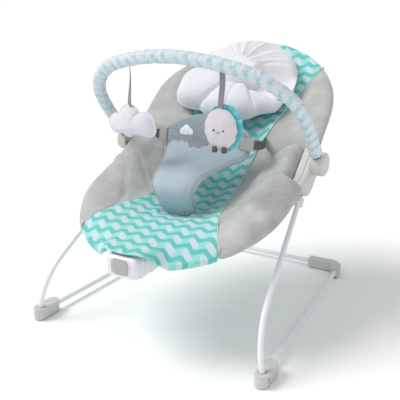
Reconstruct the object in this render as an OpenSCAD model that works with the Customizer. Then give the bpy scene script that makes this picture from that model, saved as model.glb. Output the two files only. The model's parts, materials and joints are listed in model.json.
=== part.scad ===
// Baby bouncer seat: bent-tube floor base, two curved spring legs, a sling seat on two
// tube loops, padded head support, harness panel, vibration unit and a toy bar with two toys.
// Millimetres, +Z up. X runs across the seat, -Y is the foot end, +Y the head end.
// The floor is z = 0 and the seat is mirrored about x = 0.

/* [Floor base] */
// Half the distance between the leg centres at the front feet
front_half = 233; // [215:1:250]
// Half the distance between the rail centres at the rear corners
rear_half = 206; // [190:1:225]
// Y of the bounce pivot in the front feet
pivot_y = -231; // [-245:1:-215]
// Y of the rear crossbar's centreline
rear_y = 265; // [240:1:290]
// Bend radius of the base tube's rear corners
corner_r = 24; // [18:1:40]
// Outside diameter of the base, leg and seat tubes
tube_d = 10; // [9:0.5:12]
// Wall of those tubes
tube_wall = 1.2; // [0.8:0.1:2]
// Height of the base tube's centreline above the floor
rail_z = 14; // [12:0.5:18]

/* [Legs] */
// Inward lean of each leg
leg_lean = 10.5; // [6:0.5:13]
// Radius of the leg's bend above the foot
leg_bend_r = 120; // [100:1:140]
// Slope of the leg's straight upper run
leg_slope = 32.8; // [29:0.2:36]
// Length of the leg's straight upper run
leg_run = 262; // [250:1:268]

/* [Seat frame] */
// Y of the bend line where the two seat loops meet in the hubs
fold_y = 35; // [25:1:45]
// Height of that bend line
fold_z = 283; // [275:1:290]
// Slope of the front (leg rest) loop
front_slope = 20; // [16:1:24]
// Slope of the back rest loop
back_slope = 40; // [36:1:44]
// Centreline radius of the front loop
front_loop_r = 194; // [185:1:198]
// Distance from the bend line to the front loop's arc centre
front_loop_c = 96; // [85:1:105]
// Centreline radius of the back loop
back_loop_r = 191; // [182:1:195]
// Distance from the bend line to the back loop's arc centre
back_loop_c = 128; // [115:1:140]
// How far the cover reaches outside the tube's centreline
cover_margin = 11; // [8:1:14]

/* [Side hubs] */
// Length of a hub along the back rest slope
hub_len = 105; // [95:1:115]
// Depth of a hub, square to its length
hub_h = 44; // [42:1:50]
// Inner face of a hub
hub_in = 179; // [176:1:182]
// Outer face of a hub
hub_out = 206; // [203:1:210]

/* [Vibration unit] */
// Half-width of the unit's front face
unit_nose = 31; // [28:1:36]
// Half-width of the unit where it meets the seat tube
unit_wide = 50; // [44:1:52]
// Y of the unit's front face
unit_front = -285.2; // [-287:0.1:-284]
// Width of the push button
button_w = 33; // [28:1:36]
// Height of the push button
button_h = 26; // [22:1:28]
// Travel of the push button
button_travel = 1.5; // [0.8:0.1:2]

/* [Toy bar] */
// Forward lean of the arch, measured from level behind the seat
bar_angle = 130.85; // [120:0.5:140]
// Y of the toy bar's pivot
knob_y = 49.5; // [45:0.5:55]
// Height of the toy bar's pivot
knob_z = 303.7; // [300:0.5:308]
// Half the distance between the arch's two ends
bar_half = 213; // [211:0.5:216]
// Height of the arch above its pivot, along its own plane
bar_rise = 261; // [240:1:280]
// Radius of the arch's crown
crown_r = 330; // [300:1:360]
// Radius of the arch's two shoulders
shoulder_r = 133; // [120:1:145]
// Diameter of the inner rod
rod_d = 10; // [9:0.5:11]
// Diameter of the padded sleeve
sleeve_d = 25; // [22:0.5:28]
// Diameter of the pivot knob
knob_d = 45; // [40:1:48]
// X of each toy's hanging point, either side of the middle
toy_x = 92; // [80:1:105]

/* [Hidden] */
$fn = 64;
tube_r = tube_d / 2;
gap = 0.3;              // clear space between pieces that only lie side by side
snug = 0.12;            // radial clearance of a tube in its socket
lap = 0.5;              // how far a straight run reaches into a bend
slim = 0.02;            // and how much thinner it is, so the two never share a skin
run_fit = 0.05;         // radial clearance of a turning pin
rail_lean = atan((front_half - rear_half) / (rear_y - pivot_y));
rail_start = pivot_y + 13;
foot_w = 24;
foot_h = 22;
foot_front = pivot_y - 14;
foot_back = pivot_y + 47;
pad_h = 2;
pin_r = 2;
screw_head_r = 3.6;
leg_foot_z = 21;        // height where the leg's bend starts
pin_z = 13;
hub_mid = 193;          // split face between the hub halves
hub_c = 15;             // hub centre along the back slope
hub_dz = -8;            // hub centre square to the back slope
hub_screw_r = 2;
unit_split = -262;      // face between the unit's housing and its back cover
unit_back = -228;
unit_low = 157;
unit_high = 196;
unit_wall = 2.2;
nose_r = 9;
cell_r = 12.5;
cell_y = -259;
cell_z = 176.5;
motor_z = 178;
button_z = 178;
board_y = -279;
knob_t = 22;
knob_in = hub_out + gap;
knob_pin_r = 7;
bar_socket = 20;        // depth of the rod in the knob, from the knob's rim inwards
rod_r = rod_d / 2;
sleeve_r = sleeve_d / 2;
crown_a = asin((bar_half - shoulder_r) / (crown_r - shoulder_r));
shoulder_v = bar_rise - crown_r + (crown_r - shoulder_r) * cos(crown_a);
rod_low = knob_d / 2 - bar_socket;
sleeve_low = knob_d / 2 + 5;
lap_a = lap / shoulder_r * 180 / PI;
toy_a = asin(toy_x / crown_r);
toy_v = bar_rise - crown_r + crown_r * cos(toy_a);
toy_y = knob_y + toy_v * cos(bar_angle);
toy_z = knob_z + toy_v * sin(bar_angle);
strap_w = 10;
ring_r = sleeve_r + gap;
ring_t = 1.2;
waist_half = 72;

painted = [0.93, 0.94, 0.95];
grey = [0.74, 0.73, 0.71];
dark = [0.30, 0.30, 0.31];
rubber = [0.42, 0.42, 0.42];
mint = [0.45, 0.80, 0.74];
plush = [0.70, 0.71, 0.69];
cream = [0.93, 0.93, 0.93];
steel = [0.70, 0.71, 0.72];

// ---------- frames ----------
module front_frame() { translate([0, fold_y, fold_z]) rotate([front_slope, 0, 0]) children(); }
module back_frame() { translate([0, fold_y, fold_z]) rotate([back_slope, 0, 0]) children(); }
// X stays across, Y runs up the arch from the pivot, Z is square to the arch
module bar_frame() { translate([0, knob_y, knob_z]) rotate([bar_angle, 0, 0]) children(); }
// Z runs up the leg from the foot, Y runs back, for the right-hand leg
module leg_frame() { translate([front_half, pivot_y, leg_foot_z]) rotate([0, -leg_lean, 0]) children(); }
module left() { mirror([1, 0, 0]) children(); }
// a cylinder along +X
module xcyl(r, x0, x1) { translate([x0, 0, 0]) rotate([0, 90, 0]) cylinder(r = r, h = x1 - x0); }
// a cylinder along +Y
module ycyl(r, y0, y1) { translate([0, y0, 0]) rotate([-90, 0, 0]) cylinder(r = r, h = y1 - y0); }

// ---------- floor base ----------
rail_turn = 90 - rail_lean;
corner_x = rear_half - corner_r;
corner_y = rear_y - corner_r;
rail_len = (corner_y - rail_start) / cos(rail_lean);
module rail(r) {
    translate([corner_x, corner_y, rail_z]) rotate([0, 0, rail_lean])
        translate([corner_r, 0, 0]) ycyl(r - slim, -rail_len, lap);
}
module rear_corner(r) {
    translate([corner_x, corner_y, rail_z]) rotate([0, 0, rail_lean])
        rotate_extrude(angle = rail_turn) translate([corner_r, 0]) circle(r);
}
module crossbar(r) { translate([0, rear_y, rail_z]) xcyl(r - slim, -corner_x - lap, corner_x + lap); }
module base_path(r) {
    rail(r);
    rear_corner(r);
    crossbar(r);
    left() rear_corner(r);
    left() rail(r);
}
module base_tube() {
    color(painted) difference() {
        base_path(tube_r);
        base_path(tube_r - tube_wall);
    }
}
module foot_front() {
    color(grey) difference() {
        translate([0, 0, pad_h]) union() {
            translate([front_half, foot_front + foot_w / 2, 0]) cylinder(d = foot_w, h = foot_h);
            translate([front_half, foot_back - foot_w / 2, 0]) cylinder(d = foot_w, h = foot_h);
            translate([front_half - foot_w / 2, foot_front + foot_w / 2, 0])
                cube([foot_w, foot_back - foot_front - foot_w, foot_h]);
        }
        rail(tube_r + snug);
        leg_frame() translate([0, 0, -leg_foot_z + 4]) cylinder(r = tube_r + 1.4, h = 60);
        translate([0, pivot_y, pin_z]) xcyl(pin_r + snug, front_half - 9, front_half + 9);
        translate([0, pivot_y, pin_z]) xcyl(screw_head_r + snug, front_half + 9 - gap, front_half + 20);
        front_pad_bed(0.1);
    }
}
module front_pad_bed(clear) {
    translate([front_half, foot_front + 12, 0]) cylinder(r = 8 + clear, h = pad_h + 1.5 + clear);
    translate([front_half, foot_back - 12, 0]) cylinder(r = 8 + clear, h = pad_h + 1.5 + clear);
    translate([front_half - 8 - clear, foot_front + 12, 0])
        cube([16 + 2 * clear, foot_back - foot_front - 24, pad_h + 1.5 + clear]);
}
module foot_front_r() { foot_front(); }
module foot_front_l() { left() foot_front(); }
module pad_front_r() { color(rubber) front_pad_bed(0); }
module pad_front_l() { left() color(rubber) front_pad_bed(0); }

module foot_screw() {
    translate([0, pivot_y, pin_z]) {
        xcyl(pin_r, front_half - 9 + gap, front_half + 9.5);
        xcyl(screw_head_r, front_half + 9, front_half + 11.5);
    }
}
module foot_screws() {
    color(steel) {
        foot_screw();
        left() foot_screw();
    }
}

rear_reach = 46;        // length of a rear foot along the crossbar, beyond the bend
rear_arm = 16;          // length of a rear foot along the rail
rear_w = 18;            // width of a rear foot across the tube
module rear_shape(w, z0, z1) {
    arm_w = w - 2 * slim;
    translate([corner_x, corner_y, z0]) rotate([0, 0, rail_lean]) {
        rotate_extrude(angle = rail_turn) translate([corner_r - w / 2, 0]) square([w, z1 - z0]);
        translate([corner_r - arm_w / 2, -rear_arm, slim])
            cube([arm_w, rear_arm + lap, z1 - z0 - 2 * slim]);
    }
    translate([corner_x - rear_reach, rear_y - arm_w / 2, z0 + slim])
        cube([rear_reach + lap, arm_w, z1 - z0 - 2 * slim]);
}
module foot_rear() {
    color(grey) difference() {
        rear_shape(rear_w, pad_h, rail_z + 9);
        rail(tube_r + snug);
        rear_corner(tube_r + snug);
        crossbar(tube_r + snug);
        rear_shape(rear_w - 8, -1, pad_h + 1.1);
        translate([corner_x - 12, rear_y, 0]) cylinder(r = pin_r + snug, h = 9.9);
    }
}
module pad_rear() {
    color(rubber) difference() {
        rear_shape(rear_w - 8.3, 0, pad_h + 1);
        translate([corner_x - 12, rear_y, -1]) cylinder(r = screw_head_r + gap, h = 9);
    }
}
module foot_rear_r() { foot_rear(); }
module foot_rear_l() { left() foot_rear(); }
module pad_rear_r() { pad_rear(); }
module pad_rear_l() { left() pad_rear(); }
module rear_screw() {
    translate([corner_x - 12, rear_y, 0.6]) {
        cylinder(r = screw_head_r, h = 2.2);
        cylinder(r = pin_r, h = 7.8);
    }
}
module rear_screws() {
    color(steel) {
        rear_screw();
        left() rear_screw();
    }
}

// ---------- legs ----------
leg_turn = 90 - leg_slope;
module leg_top() {
    leg_frame() translate([0, leg_bend_r * (1 - cos(leg_turn)), leg_bend_r * sin(leg_turn)])
        rotate([leg_slope, 0, 0]) children();
}
module leg_path(r) {
    leg_frame() {
        translate([0, 0, -leg_foot_z + 7]) cylinder(r = r - slim, h = leg_foot_z - 7 + lap);
        translate([0, leg_bend_r, 0]) rotate([90, 0, -90])
            rotate_extrude(angle = leg_turn) translate([leg_bend_r, 0]) circle(r);
    }
    leg_top() ycyl(r - slim, -lap, leg_run);
}
module leg() {
    color(painted) difference() {
        leg_path(tube_r);
        leg_path(tube_r - tube_wall);
        translate([0, pivot_y, pin_z]) xcyl(pin_r + run_fit, front_half - 12, front_half + 12);
    }
}
module leg_r() { leg(); }
module leg_l() { left() leg(); }

// ---------- seat loops ----------
module front_arc(r) {
    front_frame() translate([0, -front_loop_c, 0]) rotate([0, 0, 180])
        rotate_extrude(angle = 180) translate([front_loop_r, 0]) circle(r);
}
module front_stub(r) {
    front_frame() translate([front_loop_r, 0, 0]) ycyl(r - slim, -front_loop_c - lap, -14);
}
module back_arc(r) {
    back_frame() translate([0, back_loop_c, 0])
        rotate_extrude(angle = 180) translate([back_loop_r, 0]) circle(r);
}
module back_stub(r) {
    back_frame() translate([back_loop_r, 0, 0]) ycyl(r - slim, 14, back_loop_c + lap);
}
module front_loop(r) {
    front_arc(r);
    front_stub(r);
    left() front_stub(r);
}
module back_loop(r) {
    back_arc(r);
    back_stub(r);
    left() back_stub(r);
}
module seat_tube_front() {
    color(painted) difference() {
        front_loop(tube_r);
        front_loop(tube_r - tube_wall);
    }
}
module seat_tube_back() {
    color(painted) difference() {
        back_loop(tube_r);
        back_loop(tube_r - tube_wall);
    }
}

// ---------- hubs ----------
module hub_shape(x0, x1, grow) {
    r = hub_h / 2 + grow;
    half = hub_len / 2 - hub_h / 2;
    back_frame() translate([0, hub_c, hub_dz]) {
        translate([0, half, 0]) xcyl(r, x0, x1);
        translate([0, -half, 0]) xcyl(r, x0, x1);
        translate([x0, -half, -r]) cube([x1 - x0, 2 * half, 2 * r]);
    }
    front_frame() translate([x0, -42, -9 - grow]) cube([x1 - x0, 42, 18 + 2 * grow]);
}
module hub_sockets() {
    front_stub(tube_r + snug);
    back_stub(tube_r + snug);
    leg_top() ycyl(tube_r + snug, 0, leg_run + gap);
}
module hub_screw_at() {
    back_frame() translate([0, hub_c, hub_dz]) {
        translate([0, -hub_len / 2 + 25, 4]) children();
        translate([0, hub_len / 2 - 18, -11]) children();
    }
}
module plug_bed(clear) { leg_top() ycyl(9.5 + clear, leg_run - 48 - clear, leg_run - 36 + clear); }
module hub_inner() {
    color(grey) difference() {
        hub_shape(hub_in, hub_mid, 0);
        hub_sockets();
        plug_bed(snug);
        hub_screw_at() xcyl(hub_screw_r + snug, hub_in - 1, hub_mid + 1);
        hub_screw_at() xcyl(screw_head_r + snug, hub_in - 1, hub_in + 2.2);
    }
}
module hub_outer() {
    color(grey) difference() {
        hub_shape(hub_mid + 0.02, hub_out, 0);
        hub_sockets();
        plug_bed(snug);
        hub_screw_at() xcyl(hub_screw_r + snug, hub_mid - 1, hub_out - 4);
        translate([0, knob_y, knob_z]) xcyl(knob_pin_r + run_fit, hub_mid + 5, hub_out + 1);
    }
}
module hub_inner_r() { hub_inner(); }
module hub_inner_l() { left() hub_inner(); }
module hub_outer_r() { hub_outer(); }
module hub_outer_l() { left() hub_outer(); }
module hub_screw_pair() {
    hub_screw_at() {
        xcyl(hub_screw_r, hub_in + 2, hub_out - 5);
        xcyl(screw_head_r, hub_in + 0.3, hub_in + 2.1);
    }
}
module hub_screws() {
    color(steel) {
        hub_screw_pair();
        left() hub_screw_pair();
    }
}
module leg_plug() {
    color(cream) difference() {
        plug_bed(0);
        leg_top() ycyl(tube_r + snug, 0, leg_run);
    }
}
module leg_plug_r() { leg_plug(); }
module leg_plug_l() { left() leg_plug(); }

// ---------- seat cover ----------
// uniform cubic B-spline through a list of design points
function spline_pt(p, i, t) = (pow(1 - t, 3) * p[i] + (3 * pow(t, 3) - 6 * t * t + 4) * p[i + 1]
    + (-3 * pow(t, 3) + 3 * t * t + 3 * t + 1) * p[i + 2] + pow(t, 3) * p[i + 3]) / 6;
function spline(p, n) = [for (i = [0 : len(p) - 4]) for (k = [0 : n - 1]) spline_pt(p, i, k / n)];
function reversed(p) = [for (i = [len(p) - 1 : -1 : 0]) p[i]];
// a point d behind the bend line and dz above the loops' own planes
function above(d, dz) = [fold_y + d, fold_z + d * tan(d < 0 ? front_slope : back_slope) + dz];

// centre panel's upper face: lip over the vibration unit, hollow seat, rising back
sling_pts = [above(-340, 31), above(-302, 30), above(-268, 20), above(-226, 10), above(-175, -12),
    above(-120, -25), above(-70, -33), above(-30, -36), above(10, -36), above(50, -31),
    above(95, -18), above(140, -2), above(182, 12), above(220, 17), above(260, 15), above(300, 6)];
// its lower face, which passes under both loops at the ends
sling_low_pts = [above(-340, -9), above(-302, -9), above(-268, -9), above(-226, -9),
    above(-175, -21), above(-120, -33), above(-70, -41), above(-30, -44), above(10, -44), above(50, -39),
    above(95, -26), above(140, -13), above(182, -10), above(220, -10), above(260, -10),
    above(300, -12)];
// side pads: puffed top face, and the lower face that meets the panel
pad_top_pts = [above(-350, 8), above(-295, 13), above(-230, 14), above(-130, 15), above(-30, 12),
    above(30, 14), above(120, 17), above(190, 16), above(245, 14), above(300, 6)];
pad_low_pts = [above(-350, -9), above(-295, -9), above(-230, -11), above(-160, -24),
    above(-80, -36), above(10, -38), above(80, -28), above(150, -14), above(200, -10),
    above(255, -10), above(300, -12)];

module side_band(top, low) {
    rotate([90, 0, 90]) linear_extrude(height = 480, center = true)
        polygon(concat(top, reversed(low)));
}
// the front hem reaches further out, over the vibration unit
function front_edge(r) = [for (a = [0 : 5 : 180]) let (q = r + 17 * pow(sin(a), 1.5))
    [q * cos(a), fold_y - (front_loop_c + q * sin(a)) * cos(front_slope)]];
function back_edge(r) = [for (a = [180 : -5 : 0])
    [r * cos(a), fold_y + (back_loop_c + r * sin(a)) * cos(back_slope)]];
module cover_plan() {
    polygon(concat(front_edge(front_loop_r + cover_margin), back_edge(back_loop_r + cover_margin)));
}
// half-width of the centre panel: narrow at the hips, full width at both ends
function panel_half(y) = waist_half + (y < fold_y
    ? 64 * pow(max(0, (fold_y - 60 - y) / 180), 1.6)
    : 78 * pow((y - fold_y) / 200, 1.25));
module panel_plan(grow) {
    ys = [for (y = [-300 : 10 : 300]) y];
    polygon(concat([for (y = ys) [panel_half(y) + grow, y]],
        [for (i = [len(ys) - 1 : -1 : 0]) [-panel_half(ys[i]) - grow, ys[i]]]));
}
module seat_panel() {
    color(mint) difference() {
        intersection() {
            side_band(spline(sling_pts, 4), spline(sling_low_pts, 4));
            linear_extrude(height = 560) intersection() {
                cover_plan();
                panel_plan(0);
            }
        }
        front_arc(tube_r + gap);
        back_arc(tube_r + gap);
        unit_block(gap);
    }
}
module side_pad() {
    color(plush) difference() {
        intersection() {
            side_band(spline(pad_top_pts, 5), spline(pad_low_pts, 5));
            linear_extrude(height = 560) difference() {
                cover_plan();
                panel_plan(gap);
                translate([-400, -400]) square([400, 800]);
            }
        }
        front_loop(tube_r + gap);
        back_loop(tube_r + gap);
        hub_shape(hub_in - gap, hub_out + 30, gap);
        leg_top() ycyl(tube_r + 2, 0, leg_run);
        plug_bed(gap);
        unit_block(gap);
    }
}
module side_pad_r() { side_pad(); }
module side_pad_l() { left() side_pad(); }

// ---------- head support ----------
dome_r = 118;
dome_c = 174;
pillow_r = 122;
pillow_c = 200;
pillow_in = 46;
wing_x = 86;            // centre and radius of each wing of the lower pillow
wing_s = 160;
wing_r = 50;
head_low = 13.5;        // underside of the head support above the back loop's plane
module puff(r, h, z0) {
    e = h / 2;
    translate([0, 0, z0]) {
        cylinder(r = r - e, h = h);
        translate([0, 0, e]) rotate_extrude() translate([r - e, 0]) circle(e);
    }
}
module pillow_shape(grow) {
    difference() {
        union() {
            translate([0, pillow_c, 0]) puff(pillow_r + grow, 50 + 2 * grow, head_low - grow);
            translate([wing_x, wing_s, 0]) puff(wing_r + grow, 48 + 2 * grow, head_low + 1 - grow);
            translate([-wing_x, wing_s, 0]) puff(wing_r + grow, 48 + 2 * grow, head_low + 1 - grow);
        }
        translate([0, pillow_c, 0]) cylinder(r = pillow_in - grow, h = 200, center = true);
        translate([-200, pillow_c - grow, -100]) cube([400, 200, 200]);
    }
}
module head_pad() {
    color(cream) back_frame() difference() {
        translate([0, dome_c, 0]) puff(dome_r, 46, head_low);
        pillow_cut();
    }
}
module pillow_cut() {
    difference() {
        translate([-200, pillow_c - 200, -100]) cube([400, 200 + gap, 200]);
        translate([0, pillow_c, -150]) cylinder(r = pillow_in - gap, h = 300);
    }
}
module head_pillow() { color(cream) back_frame() pillow_shape(0); }

// ---------- harness ----------
wing_half = 84;
// outer face of the harness panel, measured from the bend line: it bulges forward above
// its seam, runs back over the thighs and stands up at the waist
harness_pts = [for (q = [[-118, -100], [-134, -75], [-152, -50], [-166, -24], [-162, 0], [-142, 12],
    [-110, 20], [-72, 27], [-40, 34], [-26, 52], [-22, 74], [-12, 96], [-4, 116]])
    [fold_y + q[0], fold_z + q[1]]];
// its inner face, thin at the seam and 9 mm in above it
function inward(p, i) =
    let (t = p[min(i + 1, len(p) - 1)] - p[max(i - 1, 0)], n = norm(t), d = 5 + 4 * min(1, i / 8))
    [p[i][0] + d * t[1] / n, p[i][1] - d * t[0] / n];
function inner_face(p) = [for (i = [0 : len(p) - 1]) inward(p, i)];
// half of the panel's outline seen from above, then half of it seen from the front
harness_plan = [[42, -190], [42, -122], [48, -106], [60, -84], [74, -62], [wing_half, -40], [wing_half, 40]];
harness_front = [[42, -110], [wing_half, 10], [wing_half, 52], [80, 66], [64, 78], [44, 90], [20, 97], [0, 99]];
function both_sides(p) = concat(p, [for (i = [len(p) - 1 : -1 : 0]) [-p[i][0], p[i][1]]]);
module crotch_pad() {
    top = spline(harness_pts, 5);
    color(cream) difference() {
        intersection() {
            side_band(top, inner_face(top));
            translate([0, fold_y, 0]) linear_extrude(height = 500) polygon(both_sides(harness_plan));
            translate([0, 200, fold_z]) rotate([90, 0, 0]) linear_extrude(height = 400)
                polygon(both_sides(harness_front));
        }
        side_band([for (p = spline(sling_pts, 4)) p + [0, gap]], [above(-340, -180), above(300, -180)]);
        for (s = [0, 1]) mirror([s, 0, 0]) belt_frame() translate([-31, -11.5, -0.3]) cube([60, 23, 20]);
    }
}
// belt frame: origin at the wing tip, X outwards along the belt, Z forward, square to the wing
module belt_frame() { translate([wing_half, fold_y - 28.5, fold_z + 52]) rotate([78, 0, 0]) children(); }
module tongue() {
    color(grey) belt_frame() difference() {
        union() {
            translate([-16, -11, 0]) cube([18, 22, 3]);
            translate([2, -8, 0]) cube([12, 3.4, 3]);
            translate([2, 4.6, 0]) cube([12, 3.4, 3]);
        }
        translate([-12, -8, -1]) cube([3, 16, 5]);
    }
}
module receiver() {
    color(grey) belt_frame() difference() {
        translate([2.6, -12, -3]) cube([22, 24, 9]);
        translate([2, -8 - gap, -gap]) cube([12.8, 3.4 + 2 * gap, 3 + 2 * gap]);
        translate([2, 4.6 - gap, -gap]) cube([12.8, 3.4 + 2 * gap, 3 + 2 * gap]);
        translate([19, -9, -4]) cube([2.5, 18, 11]);
    }
}
module waist_strap() {
    color(dark) belt_frame() {
        translate([19.3, -8, -3.5]) cube([1.8, 16, 11.5]);
        translate([21, -8, 6.4]) cube([6, 16, 1.6]);
        translate([25.5, -8, -42]) cube([1.8, 16, 50]);
    }
}
module tongue_r() { tongue(); }
module tongue_l() { left() tongue(); }
module receiver_r() { receiver(); }
module receiver_l() { left() receiver(); }
module waist_strap_r() { waist_strap(); }
module waist_strap_l() { left() waist_strap(); }

// ---------- vibration unit ----------
// half of the unit's outline seen from above: rounded nose, flared towards the tube
function unit_side(g) = concat(
    [for (a = [-90 : 15 : 0]) [unit_nose - nose_r + (nose_r + g) * cos(a), unit_front + nose_r + (nose_r + g) * sin(a)]],
    [[unit_wide + g, unit_back + g]]);
module unit_outer(y0, y1, g) {
    intersection() {
        translate([0, 0, unit_low - g]) linear_extrude(height = unit_high - unit_low + 2 * g)
            polygon(both_sides(unit_side(g)));
        translate([-100, y0, 0]) cube([200, y1 - y0, 400]);
    }
}
module unit_block(grow) { unit_outer(unit_front - 1, unit_back + grow, grow); }
module unit_screw_at() {
    for (sx = [-1, 1]) translate([sx * 29, 0, unit_low + 3.6]) children();
}
module button_plan(g) {
    w = button_w / 2 + g;
    h = button_h / 2 + g;
    r = 8 + g;
    for (sx = [-1, 1]) for (sy = [-1, 1]) translate([sx * (w - r), sy * (h - r)]) circle(r);
    square([2 * w, 2 * (h - r)], center = true);
    square([2 * (w - r), 2 * h], center = true);
}
module button_block(y0, y1, g) {
    translate([0, y1, button_z]) rotate([90, 0, 0]) linear_extrude(height = y1 - y0) button_plan(g);
}
module unit_housing() {
    color(cream) difference() {
        unit_outer(unit_front - 1, unit_split, 0);
        difference() {
            unit_outer(unit_front + unit_wall, unit_split + 1, -unit_wall);
            unit_screw_at() ycyl(3.2, unit_split - 13, unit_split + 2);
        }
        unit_screw_at() ycyl(1.6, unit_split - 11, unit_split + 1);
        button_block(unit_front - 2, unit_front + 4, gap);
    }
}
module unit_back_cover() {
    color(cream) difference() {
        unit_outer(unit_split + 0.1, unit_back, 0);
        difference() {
            unit_outer(unit_split, -246, -unit_wall);
            unit_screw_at() ycyl(3.2, unit_split, -240);
        }
        unit_screw_at() ycyl(1.6, unit_split - 1, unit_back + 1);
        unit_screw_at() ycyl(3.2, -240, unit_back + 1);
        front_arc(tube_r + snug);
    }
}
module unit_screws() {
    color(steel) unit_screw_at() {
        ycyl(1.5, unit_split - 10, -239);
        ycyl(3, -239.2, -237);
    }
}
module unit_button() {
    color(grey) {
        button_block(unit_front - 2, unit_front + 3, 0);
        translate([0, 0, button_z]) ycyl(3, unit_front + 2.8, board_y - 1.6);
    }
}
module unit_board() {
    color([0.16, 0.42, 0.25]) translate([-16, board_y, button_z - 11]) cube([32, 1.6, 22]);
}
module unit_cell() {
    color(steel) translate([0, cell_y, cell_z]) {
        xcyl(cell_r, -30, 16);
        xcyl(3, 15.9, 17.5);
    }
}
module unit_motor() {
    color(steel) translate([0, cell_y, motor_z]) {
        xcyl(7.5, 18.5, 28);
        xcyl(1, 27.9, 32.6);
    }
}
module unit_weight() {
    color(steel) translate([0, cell_y, motor_z]) difference() {
        xcyl(5, 28.8, 32.2);
        xcyl(1 + run_fit, 28, 34);
        translate([28, -10, 1.6]) cube([6, 20, 10]);
    }
}

// ---------- toy bar ----------
module knob() {
    color(grey) difference() {
        translate([0, knob_y, knob_z]) union() {
            rotate([0, 90, 0]) translate([0, 0, knob_in]) rotate_extrude() union() {
                square([knob_d / 2, knob_t - 6]);
                square([knob_d / 2 - 6, knob_t]);
                translate([knob_d / 2 - 6, knob_t - 6]) circle(6);
            }
            xcyl(knob_pin_r, hub_mid + 6, knob_in + 0.1);
        }
        bar_frame() translate([bar_half, 0, 0]) ycyl(rod_r + snug, rod_low - gap, knob_d);
    }
}
module knob_r() { knob(); }
module knob_l() { left() knob(); }

module crown(r) {
    bar_frame() translate([0, bar_rise - crown_r, 0]) rotate([0, 0, 90 - crown_a])
        rotate_extrude(angle = 2 * crown_a) translate([crown_r, 0]) circle(r);
}
module shoulder(r) {
    bar_frame() translate([bar_half - shoulder_r, shoulder_v, 0])
        rotate_extrude(angle = 90 - crown_a + lap_a) translate([shoulder_r, 0]) circle(r - slim);
}
module bar_end(r, low) { bar_frame() translate([bar_half, 0, 0]) ycyl(r - 2 * slim, low, shoulder_v + lap); }
module arch(r, low) {
    crown(r);
    shoulder(r);
    left() shoulder(r);
    bar_end(r, low);
    left() bar_end(r, low);
}
module bar_rod() { color(painted) arch(rod_r, rod_low); }
module bar_sleeve() {
    color(mint) difference() {
        arch(sleeve_r, sleeve_low);
        arch(rod_r + gap, sleeve_low - 1);
    }
}
module bar_ring() {
    color(dark) bar_frame() translate([bar_half, 0, 0]) difference() {
        ycyl(rod_r + 3, sleeve_low - 3, sleeve_low - gap);
        ycyl(rod_r + snug, sleeve_low - 4, sleeve_low);
    }
}
module bar_ring_r() { bar_ring(); }
module bar_ring_l() { left() bar_ring(); }

// hanging frame: origin on the arch's centreline at the toy, X along the arch there
module hang(side) {
    translate([side * toy_x, toy_y, toy_z]) children();
}
module hang_ring(side) {
    bar_frame() translate([side * toy_x, toy_v, 0]) rotate([0, 0, -side * toy_a]) difference() {
        xcyl(ring_r + ring_t, -strap_w / 2, strap_w / 2);
        xcyl(ring_r, -strap_w, strap_w);
    }
}
module ribbon(side, low) {
    difference() {
        hang(side) translate([-strap_w / 2, -ring_t / 2, -low]) cube([strap_w, ring_t, low - sleeve_r]);
        bar_frame() translate([side * toy_x, toy_v, 0]) rotate([0, 0, -side * toy_a])
            xcyl(ring_r + 0.4, -30, 30);
    }
}
module cloud_strap() {
    color(dark) {
        hang_ring(-1);
        ribbon(-1, 78);
    }
}
module cloud_lobe(x, z, r) { translate([x, 0, z]) rotate([90, 0, 0]) cylinder(r = r, h = 30, center = true); }
module cloud_toy() {
    color(cream) hang(-1) translate([3, 0, -78 - gap]) {
        cloud_lobe(-5, -25, 24);
        cloud_lobe(-33, -38, 19);
        cloud_lobe(28, -33, 21);
        cloud_lobe(-8, -44, 18);
        cloud_lobe(38, -44, 14);
        translate([-33, -15, -57]) cube([72, 30, 20]);
    }
}
module lamb_strap() {
    color(dark) {
        hang_ring(1);
        ribbon(1, 76);
    }
}
lamb_z = -112;
module lamb_disc() {
    color(mint) hang(1) translate([4, 3, lamb_z - 4]) rotate([90, 0, 0])
        cylinder(r = 33, h = 4, center = true);
}
module lamb_face() {
    color(cream) hang(1) translate([0, -10.8, lamb_z]) rotate([-90, 0, 0]) {
        cylinder(r = 28, h = 11.5);
        for (a = [0 : 45 : 315]) rotate([0, 0, a]) translate([24, 0, 0]) cylinder(r = 9, h = 11.5);
    }
}
module lamb_feet() {
    color(dark) hang(1) for (sx = [-1, 1]) translate([sx * 9, -5, lamb_z - 33 - 12.5])
        cylinder(r = 4.5, h = 12);
}

base_tube();
foot_front_l();
foot_front_r();
foot_rear_l();
foot_rear_r();
pad_front_l();
pad_front_r();
pad_rear_l();
pad_rear_r();
foot_screws();
rear_screws();
leg_l();
leg_r();
hub_inner_l();
hub_inner_r();
hub_outer_l();
hub_outer_r();
hub_screws();
leg_plug_l();
leg_plug_r();
seat_tube_front();
seat_tube_back();
seat_panel();
side_pad_l();
side_pad_r();
head_pad();
head_pillow();
crotch_pad();
waist_strap_l();
waist_strap_r();
receiver_l();
receiver_r();
tongue_l();
tongue_r();
unit_housing();
unit_back_cover();
unit_button();
unit_board();
unit_motor();
unit_weight();
unit_cell();
unit_screws();
knob_l();
knob_r();
bar_rod();
bar_sleeve();
bar_ring_l();
bar_ring_r();
cloud_strap();
cloud_toy();
lamb_strap();
lamb_disc();
lamb_face();
lamb_feet();
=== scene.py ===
import json
import math
import bpy
import bmesh
import numpy as np
from mathutils import Matrix, Vector, noise


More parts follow.
